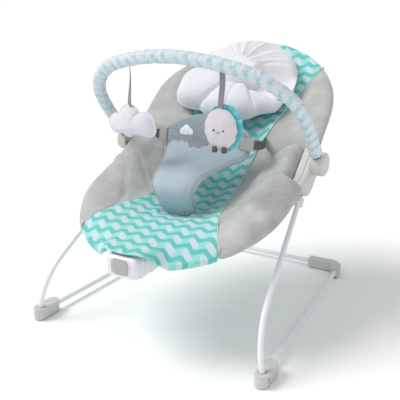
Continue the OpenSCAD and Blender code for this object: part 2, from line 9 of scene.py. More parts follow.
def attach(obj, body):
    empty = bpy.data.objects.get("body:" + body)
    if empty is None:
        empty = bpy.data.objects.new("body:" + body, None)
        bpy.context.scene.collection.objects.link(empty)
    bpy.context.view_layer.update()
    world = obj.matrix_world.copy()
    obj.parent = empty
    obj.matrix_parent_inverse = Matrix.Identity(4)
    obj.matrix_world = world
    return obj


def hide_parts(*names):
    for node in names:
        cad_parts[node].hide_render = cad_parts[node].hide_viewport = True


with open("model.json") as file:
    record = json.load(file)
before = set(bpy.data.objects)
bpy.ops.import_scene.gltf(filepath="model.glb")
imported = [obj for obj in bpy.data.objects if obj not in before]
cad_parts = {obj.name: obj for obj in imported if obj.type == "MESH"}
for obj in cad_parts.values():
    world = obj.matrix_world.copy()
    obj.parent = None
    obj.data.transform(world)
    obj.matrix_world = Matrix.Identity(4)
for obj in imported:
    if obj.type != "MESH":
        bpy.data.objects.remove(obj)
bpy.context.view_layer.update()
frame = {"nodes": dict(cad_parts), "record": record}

# ---- design values, metres
BEND_Y, BEND_Z = 0.035, 0.283            # the bend line of the two seat loops
LEG_SLOPE, BACK_SLOPE = math.radians(20), math.radians(40)
LEG_ARC, BACK_ARC = 0.096, 0.128         # loop arc centres from the bend line
KNOB_Y, KNOB_Z = 0.0495, 0.3037          # the toy bar's turning axis
BAR_TILT = math.radians(130.85)          # the bar's plane at rest, from the head end
BAR_HALF, BAR_RISE, CROWN_R, SHOULDER_R = 0.213, 0.261, 0.330, 0.133
TOY_X = 0.092                            # where the two toys hang on the bar
BELT_SLOPE = math.radians(78)            # the harness panel's upright part, at the waist belts
UNIT_Z, BUTTON_Z = 0.1765, 0.178         # centre heights of the vibration unit and its button
UNIT_FRONT, UNIT_SPLIT, UNIT_BACK = -0.2862, -0.2621, -0.2290        # its y, with its parting line
HUB_IN, HUB_SPLIT, HUB_OUT = 0.1790, 0.1930, 0.2062      # across: a hub's faces and its parting line
GAP = 0.0003                             # half the gap at the parting line of two shells
SIDES = ((-1, "l"), (1, "r"))            # the sign of x on each side, and its name


# ---- helpers
def srgb(r, g, b):
    return tuple(c / 12.92 if c <= 0.04045 else ((c + 0.055) / 1.055) ** 2.4 for c in (r, g, b))


def smooth_table(pts):
    """A table of points joined by a monotone cubic, so no kinks show in the cloth."""
    xs, ys = np.array(pts, float).T
    h = np.diff(xs)
    d = np.diff(ys) / h
    m = np.zeros(len(xs))
    m[0], m[-1] = d[0], d[-1]
    for i in range(1, len(xs) - 1):
        if d[i - 1] * d[i] > 0:
            w1, w2 = 2 * h[i] + h[i - 1], h[i] + 2 * h[i - 1]
            m[i] = (w1 + w2) / (w1 / d[i - 1] + w2 / d[i])

    def f(v):
        v = np.clip(np.asarray(v, float), xs[0], xs[-1])
        i = np.clip(np.searchsorted(xs, v) - 1, 0, len(h) - 1)
        t = (v - xs[i]) / h[i]
        return ((2 * t**3 - 3 * t**2 + 1) * ys[i] + (t**3 - 2 * t**2 + t) * h[i] * m[i]
                + (-2 * t**3 + 3 * t**2) * ys[i + 1] + (t**3 - t**2) * h[i] * m[i + 1])
    return f


def perlin(pts, scale, seed=0.0):
    """Smooth noise for an array of points; scale is the feature size, per axis."""
    s = np.asarray(scale, float)
    shift = np.array((seed, -seed, 2 * seed))
    return np.array([noise.noise(Vector(p / s + shift)) for p in np.asarray(pts, float)])


def smoothstep(a, b, v):
    t = np.clip((v - a) / (b - a), 0, 1)
    return t * t * (3 - 2 * t)


def fade(a, b, v):
    """1 below a, 0 above b, smooth between."""
    return 1 - smoothstep(a, b, v)


def bell(v, w, power=2):
    """1 at v = 0, falling away on both sides over about w."""
    return np.exp(-(v / w) ** power)


def running(y, z):
    """Distance along a line of points, from its first."""
    return np.concatenate([[0], np.cumsum(np.hypot(np.diff(y), np.diff(z)))])


def points(x, y, z):
    """Points from their coordinates, each of which is one number or an array."""
    return np.stack(np.broadcast_arrays(x, y, z), -1)


def add(name, data):
    o = bpy.data.objects.new(name, data)
    bpy.context.collection.objects.link(o)
    return o


def make(name, verts, faces, mat, smooth=True):
    me = bpy.data.meshes.new(name)
    me.from_pydata(np.asarray(verts, float).tolist(), [], faces)
    me.validate()
    bm = bmesh.new()
    bm.from_mesh(me)
    bmesh.ops.remove_doubles(bm, verts=bm.verts, dist=1e-6)
    bmesh.ops.recalc_face_normals(bm, faces=bm.faces)
    bm.to_mesh(me)
    bm.free()
    o = add(name, me)
    me.materials.append(mat.m)
    if smooth:
        me.polygons.foreach_set("use_smooth", [True] * len(me.polygons))
    return o


def store_cloth(o, across, along, faces=2):
    """Stores where each point lies on the printed cloth, in metres, the same on each of its faces."""
    where = np.tile(points(across, along, 0.0).ravel(), faces)
    o.data.attributes.new("cloth", "FLOAT_VECTOR", "POINT").data.foreach_set("vector", where)


def grid_faces(n, m, base=0, close=False):
    """Quads for n rows of m points each."""
    fs = []
    for j in range(n - 1):
        for i in range(m if close else m - 1):
            a, b = base + j * m + i, base + j * m + (i + 1) % m
            fs.append((a, b, b + m, a + m))
    return fs


def capped(n, m):
    """Faces of a tube of n rings of m points each, closed at both ends."""
    return grid_faces(n, m, close=True) + [tuple(range(m))[::-1], tuple((n - 1) * m + i for i in range(m))]


def tube(name, path, r, mat, sides):
    """A round tube along a list of points; r is one radius, one a point, or one a point and side."""
    P = np.asarray(path, float)
    T = np.gradient(P, axis=0)
    T /= np.linalg.norm(T, axis=1)[:, None]
    u = np.cross(T[0], (0, 0, 1.0))
    if np.linalg.norm(u) < 1e-3:
        u = np.cross(T[0], (0, 1.0, 0))
    u /= np.linalg.norm(u)
    r = np.asarray(r, float)
    R = np.broadcast_to(r[:, None] if r.ndim == 1 else r, (len(P), sides))
    vs = []
    for i in range(len(P)):
        u = u - T[i] * (u @ T[i])
        u /= np.linalg.norm(u)
        w = np.cross(T[i], u)
        for k in range(sides):
            a = 2 * math.pi * k / sides
            vs.append(P[i] + R[i, k] * (math.cos(a) * u + math.sin(a) * w))
    return make(name, vs, capped(len(P), sides), mat)


def loft(name, rings, mat):
    """A closed solid through rings of points."""
    return make(name, np.concatenate(rings), capped(len(rings), len(rings[0])), mat)


def spline_path(pts, n):
    """A smooth curve through the points (Catmull-Rom), in n steps from each to the next."""
    p = [np.array(q, float) for q in pts]
    p = [2 * p[0] - p[1]] + p + [2 * p[-1] - p[-2]]
    out = []
    for i in range(1, len(p) - 2):
        for k in range(n):
            t = k / n
            out.append(0.5 * (2 * p[i] + (p[i + 1] - p[i - 1]) * t
                              + (2 * p[i - 1] - 5 * p[i] + 4 * p[i + 1] - p[i + 2]) * t * t
                              + (3 * p[i] - p[i - 1] - 3 * p[i + 1] + p[i + 2]) * t**3))
    out.append(p[-2])
    return np.array(out)


# ---- shader helpers
def set_inputs(nt, n, **inputs):
    """Sets a shader node's inputs to plain values, or links them to a socket or a Val."""
    for k, v in inputs.items():
        v, sock = getattr(v, "sock", v), n.inputs[k.replace("_", " ")]
        if isinstance(v, bpy.types.NodeSocket):
            nt.links.new(v, sock)
        else:
            sock.default_value = v


def shader_node(nt, kind, **inputs):
    n = nt.nodes.new("ShaderNode" + kind)
    set_inputs(nt, n, **inputs)
    return n


class Val:
    """A shader value: arithmetic on it adds Math nodes."""

    def __init__(self, nt, sock):
        self.nt, self.sock = nt, sock

    def op(self, name, *args, clamp=False):
        n = self.nt.nodes.new("ShaderNodeMath")
        n.operation, n.use_clamp = name, clamp
        for i, a in enumerate((self,) + args):
            if isinstance(a, Val):
                self.nt.links.new(a.sock, n.inputs[i])
            else:
                n.inputs[i].default_value = a
        return Val(self.nt, n.outputs[0])

    def __add__(self, o): return self.op("ADD", o)
    def __sub__(self, o): return self.op("SUBTRACT", o)
    def __mul__(self, o): return self.op("MULTIPLY", o)
    def __truediv__(self, o): return self.op("DIVIDE", o)
    def pow(self, o): return self.op("POWER", o)
    def abs(self): return self.op("ABSOLUTE")
    def cos(self): return self.op("COSINE")
    def frac(self): return self.op("FRACT")

    def step(self, lo, hi):
        """1 below lo, 0 above hi, smooth between."""
        n = shader_node(self.nt, "MapRange", Value=self, From_Min=lo, From_Max=hi, To_Min=1, To_Max=0)
        n.interpolation_type = "SMOOTHSTEP"
        return Val(self.nt, n.outputs["Result"])


class Mat:
    """A Principled material whose colour, roughness and grain come from procedural nodes."""

    def __init__(self, name, color, rough=0.6, sheen=0.0, **sockets):
        self.m = bpy.data.materials.new(name)
        self.m.use_nodes = True
        self.nt = self.m.node_tree
        self.b = self.nt.nodes["Principled BSDF"]
        self.color = color
        if sheen:
            sockets.update(Sheen_Weight=sheen, Sheen_Roughness=0.45)
        set_inputs(self.nt, self.b, Base_Color=(*srgb(*color), 1), Roughness=rough, **sockets)
        self.height = None

    def coord(self, attr=None):
        if attr:
            n = shader_node(self.nt, "Attribute")
            n.attribute_name = attr
            return n.outputs["Vector"]
        return shader_node(self.nt, "TexCoord").outputs["Object"]

    def xyz(self, vec):
        return [Val(self.nt, s) for s in shader_node(self.nt, "SeparateXYZ", Vector=vec).outputs]

    def noise(self, scale, detail=2.0, vec=None, stretch=(1, 1, 1), distort=0.0, rough=0.5):
        at = shader_node(self.nt, "Mapping", Scale=stretch, Vector=vec or self.coord())
        n = shader_node(self.nt, "TexNoise", Vector=at.outputs["Vector"], Scale=scale, Detail=detail,
                        Roughness=rough, Distortion=distort)
        return Val(self.nt, n.outputs[0])

    def mix(self, fac, a, b):
        n = shader_node(self.nt, "Mix", Factor=fac)
        n.data_type = "RGBA"
        for i, c in ((6, a), (7, b)):    # the colour sockets A and B
            if isinstance(c, tuple):
                n.inputs[i].default_value = (*srgb(*c), 1)
            else:
                self.nt.links.new(c, n.inputs[i])
        return n.outputs[2]

    def paint(self, sock):
        self.nt.links.new(sock, self.b.inputs["Base Color"])

    def vary(self, val, lo, hi):
        """Base colour between lo and hi times itself, by the value."""
        self.paint(self.mix(val, *(tuple(min(1, c * f) for c in self.color) for f in (lo, hi))))

    def bump(self, val, depth, strength=1.0):
        n = shader_node(self.nt, "Bump", Strength=strength, Distance=depth, Height=val)
        if self.height:
            self.nt.links.new(self.height, n.inputs["Normal"])
        self.height = n.outputs["Normal"]
        self.nt.links.new(self.height, self.b.inputs["Normal"])

    def rough_by(self, val, lo, hi):
        n = shader_node(self.nt, "MapRange", Value=val, To_Min=lo, To_Max=hi)
        self.nt.links.new(n.outputs["Result"], self.b.inputs["Roughness"])

    def weave(self, pitch, depth, vec=None):
        """Plain weave: crossed threads as fine ribs."""
        x, y, _ = self.xyz(vec or self.coord())
        k = 2 * math.pi / pitch
        self.bump((x * k).cos() * (y * k).cos(), depth, 0.6)


# ---- materials
def finish(name, color, rough, tone, grain=None, **kw):
    """A finish with a soft variation in tone (scale, detail, low, high) and a grain (scale, detail,
    depth, strength)."""
    m = Mat(name, color, rough, **kw)
    m.vary(m.noise(*tone[:2]), *tone[2:])
    if grain:
        m.bump(m.noise(*grain[:2]), *grain[2:])
    return m


PAINT = finish("painted_tube", (0.93, 0.94, 0.955), 0.28, (40, 3, 0.985, 1.01), (900, 2, 0.00004, 0.25),
               Coat_Weight=0.35, Coat_Roughness=0.15)
GREY = finish("grey_plastic", (0.80, 0.80, 0.785), 0.42, (30, 4, 0.975, 1.02), (1600, 2, 0.00005, 0.35))
GREY.rough_by(GREY.noise(60, 3), 0.36, 0.50)
# the buckles' grey plastic made darker: painted shade for the deep shade they sit in beside the pads
SHADED_BUCKLE = finish("buckle_plastic_painted_shade", (0.66, 0.655, 0.645), 0.45, (60, 3, 0.96, 1.03), (1600, 2, 0.00005, 0.35))
BUTTON = finish("button_plastic", (0.70, 0.70, 0.705), 0.45, (60, 3, 0.97, 1.02), (1600, 2, 0.00005, 0.35))
WHITE = finish("white_plastic", (0.915, 0.91, 0.935), 0.30, (35, 3, 0.985, 1.01), (1500, 2, 0.00003, 0.2),
               Coat_Weight=0.2, Coat_Roughness=0.2)
RUBBER = finish("foot_rubber", (0.42, 0.42, 0.42), 0.8, (80, 4, 0.9, 1.05), (2200, 2, 0.0001, 0.5))
BLACK = finish("dark_plastic", (0.18, 0.18, 0.19), 0.5, (60, 3, 0.9, 1.1))
BOARD = finish("board", (0.16, 0.42, 0.25), 0.5, (300, 2, 0.8, 1.1))
STEEL = Mat("screw_steel", (0.72, 0.73, 0.74), 0.32, Metallic=1.0)
STEEL.rough_by(STEEL.noise(400, 3, stretch=(1, 8, 1)), 0.24, 0.42)

CREAM = finish("white_plush", (0.925, 0.915, 0.93), 0.9, (18, 4, 0.965, 1.02), (900, 3, 0.0003, 0.5),
               sheen=0.3)
DOME = finish("dome_plush", (0.905, 0.905, 0.92), 0.92, (20, 4, 0.97, 1.02), (900, 3, 0.0003, 0.5), sheen=0.3)
PILLOW = finish("pillow_plush", (0.895, 0.90, 0.93), 0.92, (20, 4, 0.97, 1.02), (1000, 3, 0.0003, 0.5),
                sheen=0.3)
TOY_WHITE = finish("toy_plush", (0.885, 0.885, 0.905), 0.95, (60, 4, 0.96, 1.03), (1300, 3, 0.0004, 0.6),
                   sheen=0.35)
FACE = finish("face_plush", (0.85, 0.825, 0.85), 0.95, (60, 4, 0.96, 1.03), (1300, 3, 0.0004, 0.6),
              sheen=0.35)
FOOT = finish("dark_felt", (0.34, 0.33, 0.35), 0.8, (150, 3, 0.9, 1.1), sheen=0.1)
NOSE = finish("pink_felt", (0.86, 0.70, 0.70), 0.8, (150, 3, 0.95, 1.05), sheen=0.1)
MINT_PIPE = finish("mint_piping", (0.70, 0.90, 0.86), 0.8, (120, 4, 0.92, 1.05), sheen=0.1)
WEB = finish("dark_webbing", (0.36, 0.36, 0.37), 0.8, (90, 4, 0.85, 1.15))
WEB.weave(0.0012, 0.0002)
TEAL = finish("teal_cloth", (0.42, 0.80, 0.84), 0.6, (45, 4, 0.85, 1.12), sheen=0.2)
TEAL.weave(0.0009, 0.0001)
PIPE = finish("piping", (0.66, 0.685, 0.69), 0.8, (120, 4, 0.92, 1.05), sheen=0.1)
PIPE.bump(PIPE.noise(1500, 2, stretch=(1, 1, 3)), 0.0002, 0.5)
RIBBON = Mat("toy_ribbon", (0.56, 0.56, 0.575), 0.7, sheen=0.1)
RIBBON.vary(RIBBON.noise(200, 4, stretch=(3, 3, 1)), 0.85, 1.1)
RIBBON.weave(0.0010, 0.00015)

PLUSH = Mat("grey_plush", (0.735, 0.74, 0.73), 0.95, sheen=0.35)
nap = PLUSH.noise(16, 5, stretch=(1, 1.6, 1), distort=0.6, rough=0.6)
PLUSH.vary(nap.op("SUBTRACT", 0.5) * 1.6 + 0.5, 0.86, 1.07)
PLUSH.bump(PLUSH.noise(55, 5, distort=0.4), 0.0012, 0.35)
PLUSH.bump(PLUSH.noise(1100, 3), 0.0003, 0.5)

CLOTH = Mat("blue_grey_cloth", (0.80, 0.85, 0.885), 0.75, sheen=0.15)


def blobs(m, circles):
    """1 inside any of the circles (x, y, r): millimetres across, and down from the panel's top edge."""
    x, y, _ = m.xyz(m.coord("cloth"))
    best = None
    for cx, cy, r in circles:
        d = ((x - cx / 1000).pow(2.0) + (y - cy / 1000).pow(2.0)).op("SQRT") - r / 1000
        best = d if best is None else best.op("MINIMUM", d)
    return best.step(-0.0004, 0.0004)


def cloth_print(m):
    """The harness panel's print: hills under a sky, a cloud, and a sheep with dark feet and eyes."""
    x, y, _ = m.xyz(m.coord("cloth"))
    line = (x * (math.pi / 0.017)).cos().abs() * -0.0050 + 0.0620
    upper = m.mix(m.noise(24, 4), (0.54, 0.59, 0.63), (0.585, 0.635, 0.675))
    lower = m.mix(m.noise(24, 4), (0.655, 0.715, 0.755), (0.70, 0.76, 0.80))
    c = m.mix((y - line).step(-0.0004, 0.0004), lower, upper)
    cloud_puffs = [(-52, 37, 6.5), (-43, 33, 8.5), (-34, 36.5, 6.5), (-44, 38, 6)]
    dark = [(-25, 76, 2.2), (-21, 77, 2), (-8, 77, 2.2), (-4, 76, 2), (3, 62, 5)]
    wool = [(-29, 60, 8), (-20, 54, 9), (-9, 55, 9), (-1, 61, 7), (-24, 67, 8), (-13, 68, 8.5), (-5, 67, 7)]
    for circles, color in ((cloud_puffs, (0.92, 0.93, 0.95)), (dark, (0.33, 0.34, 0.36)),
                           (wool, (0.56, 0.575, 0.60))):
        c = m.mix(blobs(m, circles), c, color)
    m.paint(c)


cloth_print(CLOTH)
CLOTH.weave(0.0011, 0.00012)


def mint_print(name, pale, band, white, wave, row, amp, thick, patch, soft=0.02, broken=None):
    """Printed cloth: wavy bands across, with a row of pale rounded patches between each two."""
    m = Mat(name, band, 0.72, sheen=0.18)
    vec = m.coord("cloth")
    x, y, _ = m.xyz(vec)
    wob = (m.noise(60, 2, vec=vec) - 0.5) * 0.10
    u = x / wave + wob
    v = y / row + wob + (u * (2 * math.pi) - 1.57).cos() * amp
    d = ((v + 0.5).frac() - 0.5).abs()
    bands = d.step(thick - soft, thick + soft)
    if broken:
        bands = bands * (m.noise(broken, 2, vec=vec) - 0.36).op("MULTIPLY", 4.5, clamp=True)
    c = m.mix(bands, pale, band)
    du = ((u + 0.5).frac() - 0.5).abs()
    dv = (v.frac() - 0.5).abs()
    dia = (du / patch[0]).pow(2.5) + (dv / patch[1]).pow(2.5)
    c = m.mix(dia.step(0.75, 1.2), c, white)
    m.paint(c)
    m.weave(0.0010, 0.00010, vec)
    return m


MINT = mint_print("mint_print", (0.58, 0.87, 0.845), (0.395, 0.77, 0.74), (0.80, 0.865, 0.895),
                  0.031, 0.026, 0.17, 0.185, (0.33, 0.27))
SLEEVE = mint_print("sleeve_print", (0.845, 0.88, 0.912), (0.665, 0.825, 0.84), (0.855, 0.875, 0.92),
                    0.026, 0.0205, 0.16, 0.23, (0.22, 0.40), 0.07, 95)

# ---- camera, floor, lights
CAMERA_AT = (0.580506, -1.077691, 0.608396)
CAMERA_AZ, CAMERA_EL, CAMERA_ROLL = (math.radians(a) for a in (28.69, 17.898, 0.316))
CAMERA_LENS = 58.56                      # millimetres, on a 36 mm sensor
FLOOR_HALF = 150.0


def camera():
    """The photograph's view, from a pinhole camera fitted to the object's symmetry and level base."""
    out = math.cos(CAMERA_EL)
    back = Vector((math.sin(CAMERA_AZ) * out, -math.cos(CAMERA_AZ) * out, math.sin(CAMERA_EL)))
    level = Vector((math.cos(CAMERA_AZ), math.sin(CAMERA_AZ), 0))
    rise = back.cross(level)
    c, s = math.cos(CAMERA_ROLL), math.sin(CAMERA_ROLL)
    m = Matrix((level * c + rise * s, rise * c - level * s, back)).transposed().to_4x4()
    m.translation = Vector(CAMERA_AT)
    cam = bpy.data.cameras.new("camera")
    cam.lens, cam.sensor_width, cam.clip_start = CAMERA_LENS, 36, 0.05
    o = add("camera", cam)
    o.matrix_world = m
    bpy.context.scene.camera = o


def lights():
    key = bpy.data.lights.new("key", "SUN")
    key.energy, key.angle = 1.95, math.radians(30)
    add("key", key).rotation_euler = Vector((-0.75, -0.35, 1.0)).to_track_quat("Z", "Y").to_euler()
    fill = bpy.data.lights.new("fill", "AREA")
    fill.shape, fill.size, fill.energy = "DISK", 1.6, 3
    o = add("fill", fill)
    o.location = (1.5, -1.3, 1.2)
    o.rotation_euler = (o.location - Vector((0, 0, 0.2))).to_track_quat("Z", "Y").to_euler()


def studio():
    """A wide pale floor under a white sky."""
    bpy.context.scene.view_settings.view_transform = "Standard"
    paper = finish("floor_paper", (1.0, 1.0, 1.0), 0.95, (3, 2, 0.998, 1.0))
    corners = [(x * FLOOR_HALF, y * FLOOR_HALF, 0) for x, y in ((-1, -1), (1, -1), (1, 1), (-1, 1))]
    make("floor", corners, [(0, 1, 2, 3)], paper, smooth=False)
    world = bpy.data.worlds.new("studio")
    bpy.context.scene.world = world
    world.use_nodes = True
    sky = world.node_tree.nodes["Background"]
    sky.inputs["Color"].default_value = (1, 1, 1, 1)
    sky.inputs["Strength"].default_value = 0.56


camera()
studio()
lights()


# ---- the two loops' plane
def plane(y):
    """Height of the seat loops' plane over y, with the bend at the hubs rounded off."""
    d, w = np.asarray(y, float) - BEND_Y, 0.035
    low, high = math.tan(LEG_SLOPE), math.tan(BACK_SLOPE)
    t = np.clip((d + w) / (2 * w), 0, 1)
    mid = -w * low + 2 * w * (low * t + (high - low) * t * t / 2)
    return BEND_Z + np.where(d < -w, d * low, np.where(d > w, d * high, mid))


def outline():
    """Right-hand edge of the cover seen from above, from the front middle to the back middle."""
    a = np.radians(np.linspace(90, 0, 46))
    s, c = np.sin(a), np.cos(a)
    leg, back = 0.204 + 0.018 * s**1.5, 0.202 - 0.0035 * s[::-1]**3
    front = np.stack([leg * c, BEND_Y - (LEG_ARC + leg * s) * math.cos(LEG_SLOPE)], -1)
    rear = np.stack([back * c[::-1], BEND_Y + (BACK_ARC + back * s[::-1]) * math.cos(BACK_SLOPE)], -1)
    return np.concatenate([front, [(0.2035, BEND_Y - 0.055)], rear])


EDGE = outline()
Y0, Y1 = EDGE[0, 1], EDGE[-1, 1]


def notch(y, over=0.0):
    """Half-width limit beside the hub: the cover stops at its inner face, or laps over it."""
    beside = smoothstep(-0.024, -0.004, y) * fade(0.080, 0.100, y)
    return HUB_IN - 0.0005 + over + (0.05 - over) * (1 - beside)


def edge_x(y, over=0.0):
    return np.minimum(np.interp(y, EDGE[:, 1], EDGE[:, 0]), notch(y, over))


def edge_distance(x, y, over=0.0):
    """Distance to the cover's edge, for points inside it."""
    p = np.stack([np.abs(x), y], -1).reshape(-1, 2)
    best = np.full(len(p), np.inf)
    for a, ab in zip(EDGE, np.diff(EDGE, axis=0)):
        t = np.clip(((p - a) @ ab) / (ab @ ab), 0, 1)
        best = np.minimum(best, np.linalg.norm(p - a - t[:, None] * ab, axis=1))
    best = best.reshape(np.shape(x))
    return np.minimum(best, np.maximum(notch(np.asarray(y), over) - np.abs(x), 0))


def seam_x(y):
    """Half-width of the centre panel, narrowest at the hips."""
    y = np.asarray(y, float)
    front = 0.064 * np.clip((BEND_Y - 0.060 - y) / 0.180, 0, None) ** 1.6
    back = 0.078 * np.clip((y - BEND_Y) / 0.200, 0, None) ** 1.25
    return 0.072 + np.where(y < BEND_Y, front, back)


def seam_ends():
    """Where the side seams run out at the cover's edge."""
    y = np.linspace(Y0 + 0.002, Y1 - 0.002, 3000)
    y = y[seam_x(y) < edge_x(y)]
    return y[0], y[-1]


SEAM_LO, SEAM_HI = seam_ends()


def profile(*pts):
    """A smooth table of heights over y, both given in millimetres."""
    return smooth_table([(y / 1000, h / 1000) for y, h in pts])


# heights over the loops' plane: along the seam, the middle, the cover's rim and the side pad's crest
seam_dz = profile((-270, 16), (-235, 18), (-207, 20), (-187, 19), (-157, 14), (-130, 8), (-80, -8),
                  (-40, -16), (0, -19), (40, -14), (82, 4), (106, 8), (120, 9), (144, 8), (200, 10),
                  (240, 12), (280, 12))
mid_dz = profile((-270, 30.5), (-235, 26), (-200, 18), (-160, 8), (-130, -6), (-100, -20), (-60, -30),
                 (0, -36), (40, -36), (80, -28), (120, -17), (160, -6), (200, 3), (240, 9), (280, 12))
rim_dz = profile((-270, 7), (-200, 3), (-100, -1), (0, -2), (60, 2), (120, 10), (165, 8), (210, 0), (280, -2))
crest_dz = profile((-270, 18), (-200, 20), (-130, 21), (-60, 18), (0, 16), (40, 14), (100, 20), (160, 24),
                   (220, 16), (280, 12))


def round_edge(d, r):
    """0 at the edge and 1 from r inwards, as a quarter circle."""
    return np.sqrt(np.clip(1 - (1 - np.clip(d / r, 0, 1)) ** 2, 0, 1))


def at_front(y):
    """1 at the foot end, 0 from the middle of the leg rest on."""
    return fade(-0.205, -0.150, y)


def crown(y, d, r):
    """Fall of a soft face to the cover's edge: short and round, but long and flat at the front."""
    front = at_front(y)
    return round_edge(d, r) * (1 - front) + (1 - (1 - np.clip(d / 0.045, 0, 1)) ** 2) * front


def rows(lo, hi, n, ends):
    """Row positions from lo to hi, closer together at both ends."""
    t = np.linspace(0, 1, n)
    return lo + (hi - lo) * (t - ends * np.sin(2 * np.pi * t) / (2 * np.pi))


def closed_grid(name, HI, LO, mat):
    """A padded piece from its two faces, each a grid of points."""
    n, m = HI.shape[:2]
    fs = grid_faces(n, m) + [f[::-1] for f in grid_faces(n, m, n * m)]
    k, last = n * m, (n - 1) * m
    walls = [(i, i + 1) for r in (0, last) for i in range(r, r + m - 1)]
    walls += [(i, i + m) for c in (0, m - 1) for i in range(c, last + c, m)]
    fs += [(a, b, k + b, k + a) for a, b in walls]
    return make(name, np.concatenate([HI.reshape(-1, 3), LO.reshape(-1, 3)]), fs, mat)


def closed_sheet(name, X, Y, TOP, LOW, mat):
    """A padded piece from two height fields over one grid of plan positions."""
    return closed_grid(name, points(X, Y, TOP), points(X, Y, LOW), mat)


def flat_perlin(X, Y, scale, seed):
    """Smooth noise over a grid of plan positions."""
    return perlin(points(X, Y, 0.0).reshape(-1, 3), (*scale, 1), seed).reshape(X.shape)


def cloth_run(y):
    """Distance along the panel's middle from its front edge, so the print keeps its size on the slopes."""
    ys = np.linspace(Y0 - 0.01, Y1 + 0.01, 400)
    return np.interp(y, ys, running(ys, plane(ys) + mid_dz(ys)))


def panel_folds(X, Y):
    """Gathers where the harness panel is sewn on, and soft folds across the hips."""
    fold = np.zeros_like(X)
    for sx in (-1, 1):
        for a in np.radians([-62, -38, -14, 8, 30, 52]):
            dx, dy = sx * X - 0.030, Y + 0.108
            along = dx * math.cos(a) + dy * math.sin(a)
            off = -dx * math.sin(a) + dy * math.cos(a)
            w = 0.0035 + 0.05 * np.clip(along, 0, 0.1)
            ends = smoothstep(-0.004, 0.010, along) * fade(0.03, 0.085, along)
            fold += bell(off, w) * ends
    for k in range(9):
        y0, xw, c = -0.118 - 0.0085 * k, 0.075 - 0.003 * k, 0.006 * math.sin(2.1 * k + 1)
        off = Y - y0 - 0.15 * (X - c) ** 2 / 0.05
        fold += 0.35 * bell(off, 0.0024) * bell(X - c, xw, 4)
    return fold


def seat_panel():
    n, m, thick = 190, 111, 0.016
    ys = rows(Y0 + 0.0004, Y1 - 0.0004, n, 0.75)
    half = np.minimum(seam_x(ys), edge_x(ys)) - 0.0002
    t = np.linspace(-1, 1, m)
    t = np.sign(t) * (1 - (1 - np.abs(t)) ** 1.15)
    X, Y = half[:, None] * t[None, :], np.repeat(ys[:, None], m, 1)
    q = np.abs(X) / np.maximum(seam_x(Y), 1e-6)
    body = mid_dz(Y) + (seam_dz(Y) - mid_dz(Y)) * np.clip(q, 0, 1) ** 2.4
    hips = bell(Y + 0.02, 0.11)
    soft = flat_perlin(X, Y, (0.055, 0.024), 3.1)
    body += 0.0026 * panel_folds(X, Y) + soft * (0.0008 + 0.0022 * hips)
    d_edge = edge_distance(X, Y)
    d_seam = np.maximum(seam_x(Y) - np.abs(X), 0)
    groove = round_edge(d_seam, 0.006)
    rim = rim_dz(Y)
    top = rim + (body - rim) * crown(Y, d_edge, 0.011) - 0.0035 * (1 - groove) * (1 - 0.9 * at_front(Y))
    tube_free = smoothstep(-0.205, -0.16, Y) * fade(0.18, 0.22, Y)
    low_body = (1 - tube_free) * np.minimum(body - 0.010, -0.009) + tube_free * (body - thick)
    # over the vibration unit the cloth is a thin lip that reaches forward
    cover = fade(0.034, 0.072, np.abs(X))
    lip = fade(-0.246, -0.228, Y) * cover
    low_body = low_body * (1 - lip) + (body - 0.0045) * lip
    rim_low = rim * (1 - lip) + (body - 0.002) * lip
    hem = 1 - 0.45 * np.clip(1 - d_seam / 0.004, 0, 1) * (1 - at_front(Y))
    tuck = 0.007 - 0.0035 * smoothstep(0.15, 0.20, Y)
    low = rim_low + (low_body - rim_low) * round_edge(d_edge, tuck) * hem
    lip_top = rim_low + (body - rim_low) * round_edge(d_edge, 0.003)
    top = np.maximum(top * (1 - lip) + lip_top * lip, low + 0.0004)
    reach = cover * fade(Y0, -0.215, Y)
    z = plane(Y) - 0.001 * reach * fade(Y0, Y0 + 0.014, Y)
    Y = Y - 0.019 * reach
    o = closed_sheet("seat_panel_cloth", X, Y, z + top, z + low, MINT)
    steps = np.hypot(np.diff(Y, axis=0), np.diff(z + top, axis=0))
    run = np.concatenate([0 * X[:1], np.cumsum(steps, 0)])
    run -= run[n // 2:n // 2 + 1] - cloth_run(ys[n // 2])
    store_cloth(o, X, run)
    return o


# soft folds in a side pad: middle x and y, direction in degrees, length and width
PAD_FOLDS = ((0.120, -0.030, 40, 0.055, 0.005), (0.135, -0.075, 62, 0.050, 0.006),
             (0.125, 0.075, -20, 0.060, 0.006), (0.150, 0.105, 10, 0.050, 0.006),
             (0.110, -0.135, 80, 0.050, 0.006))


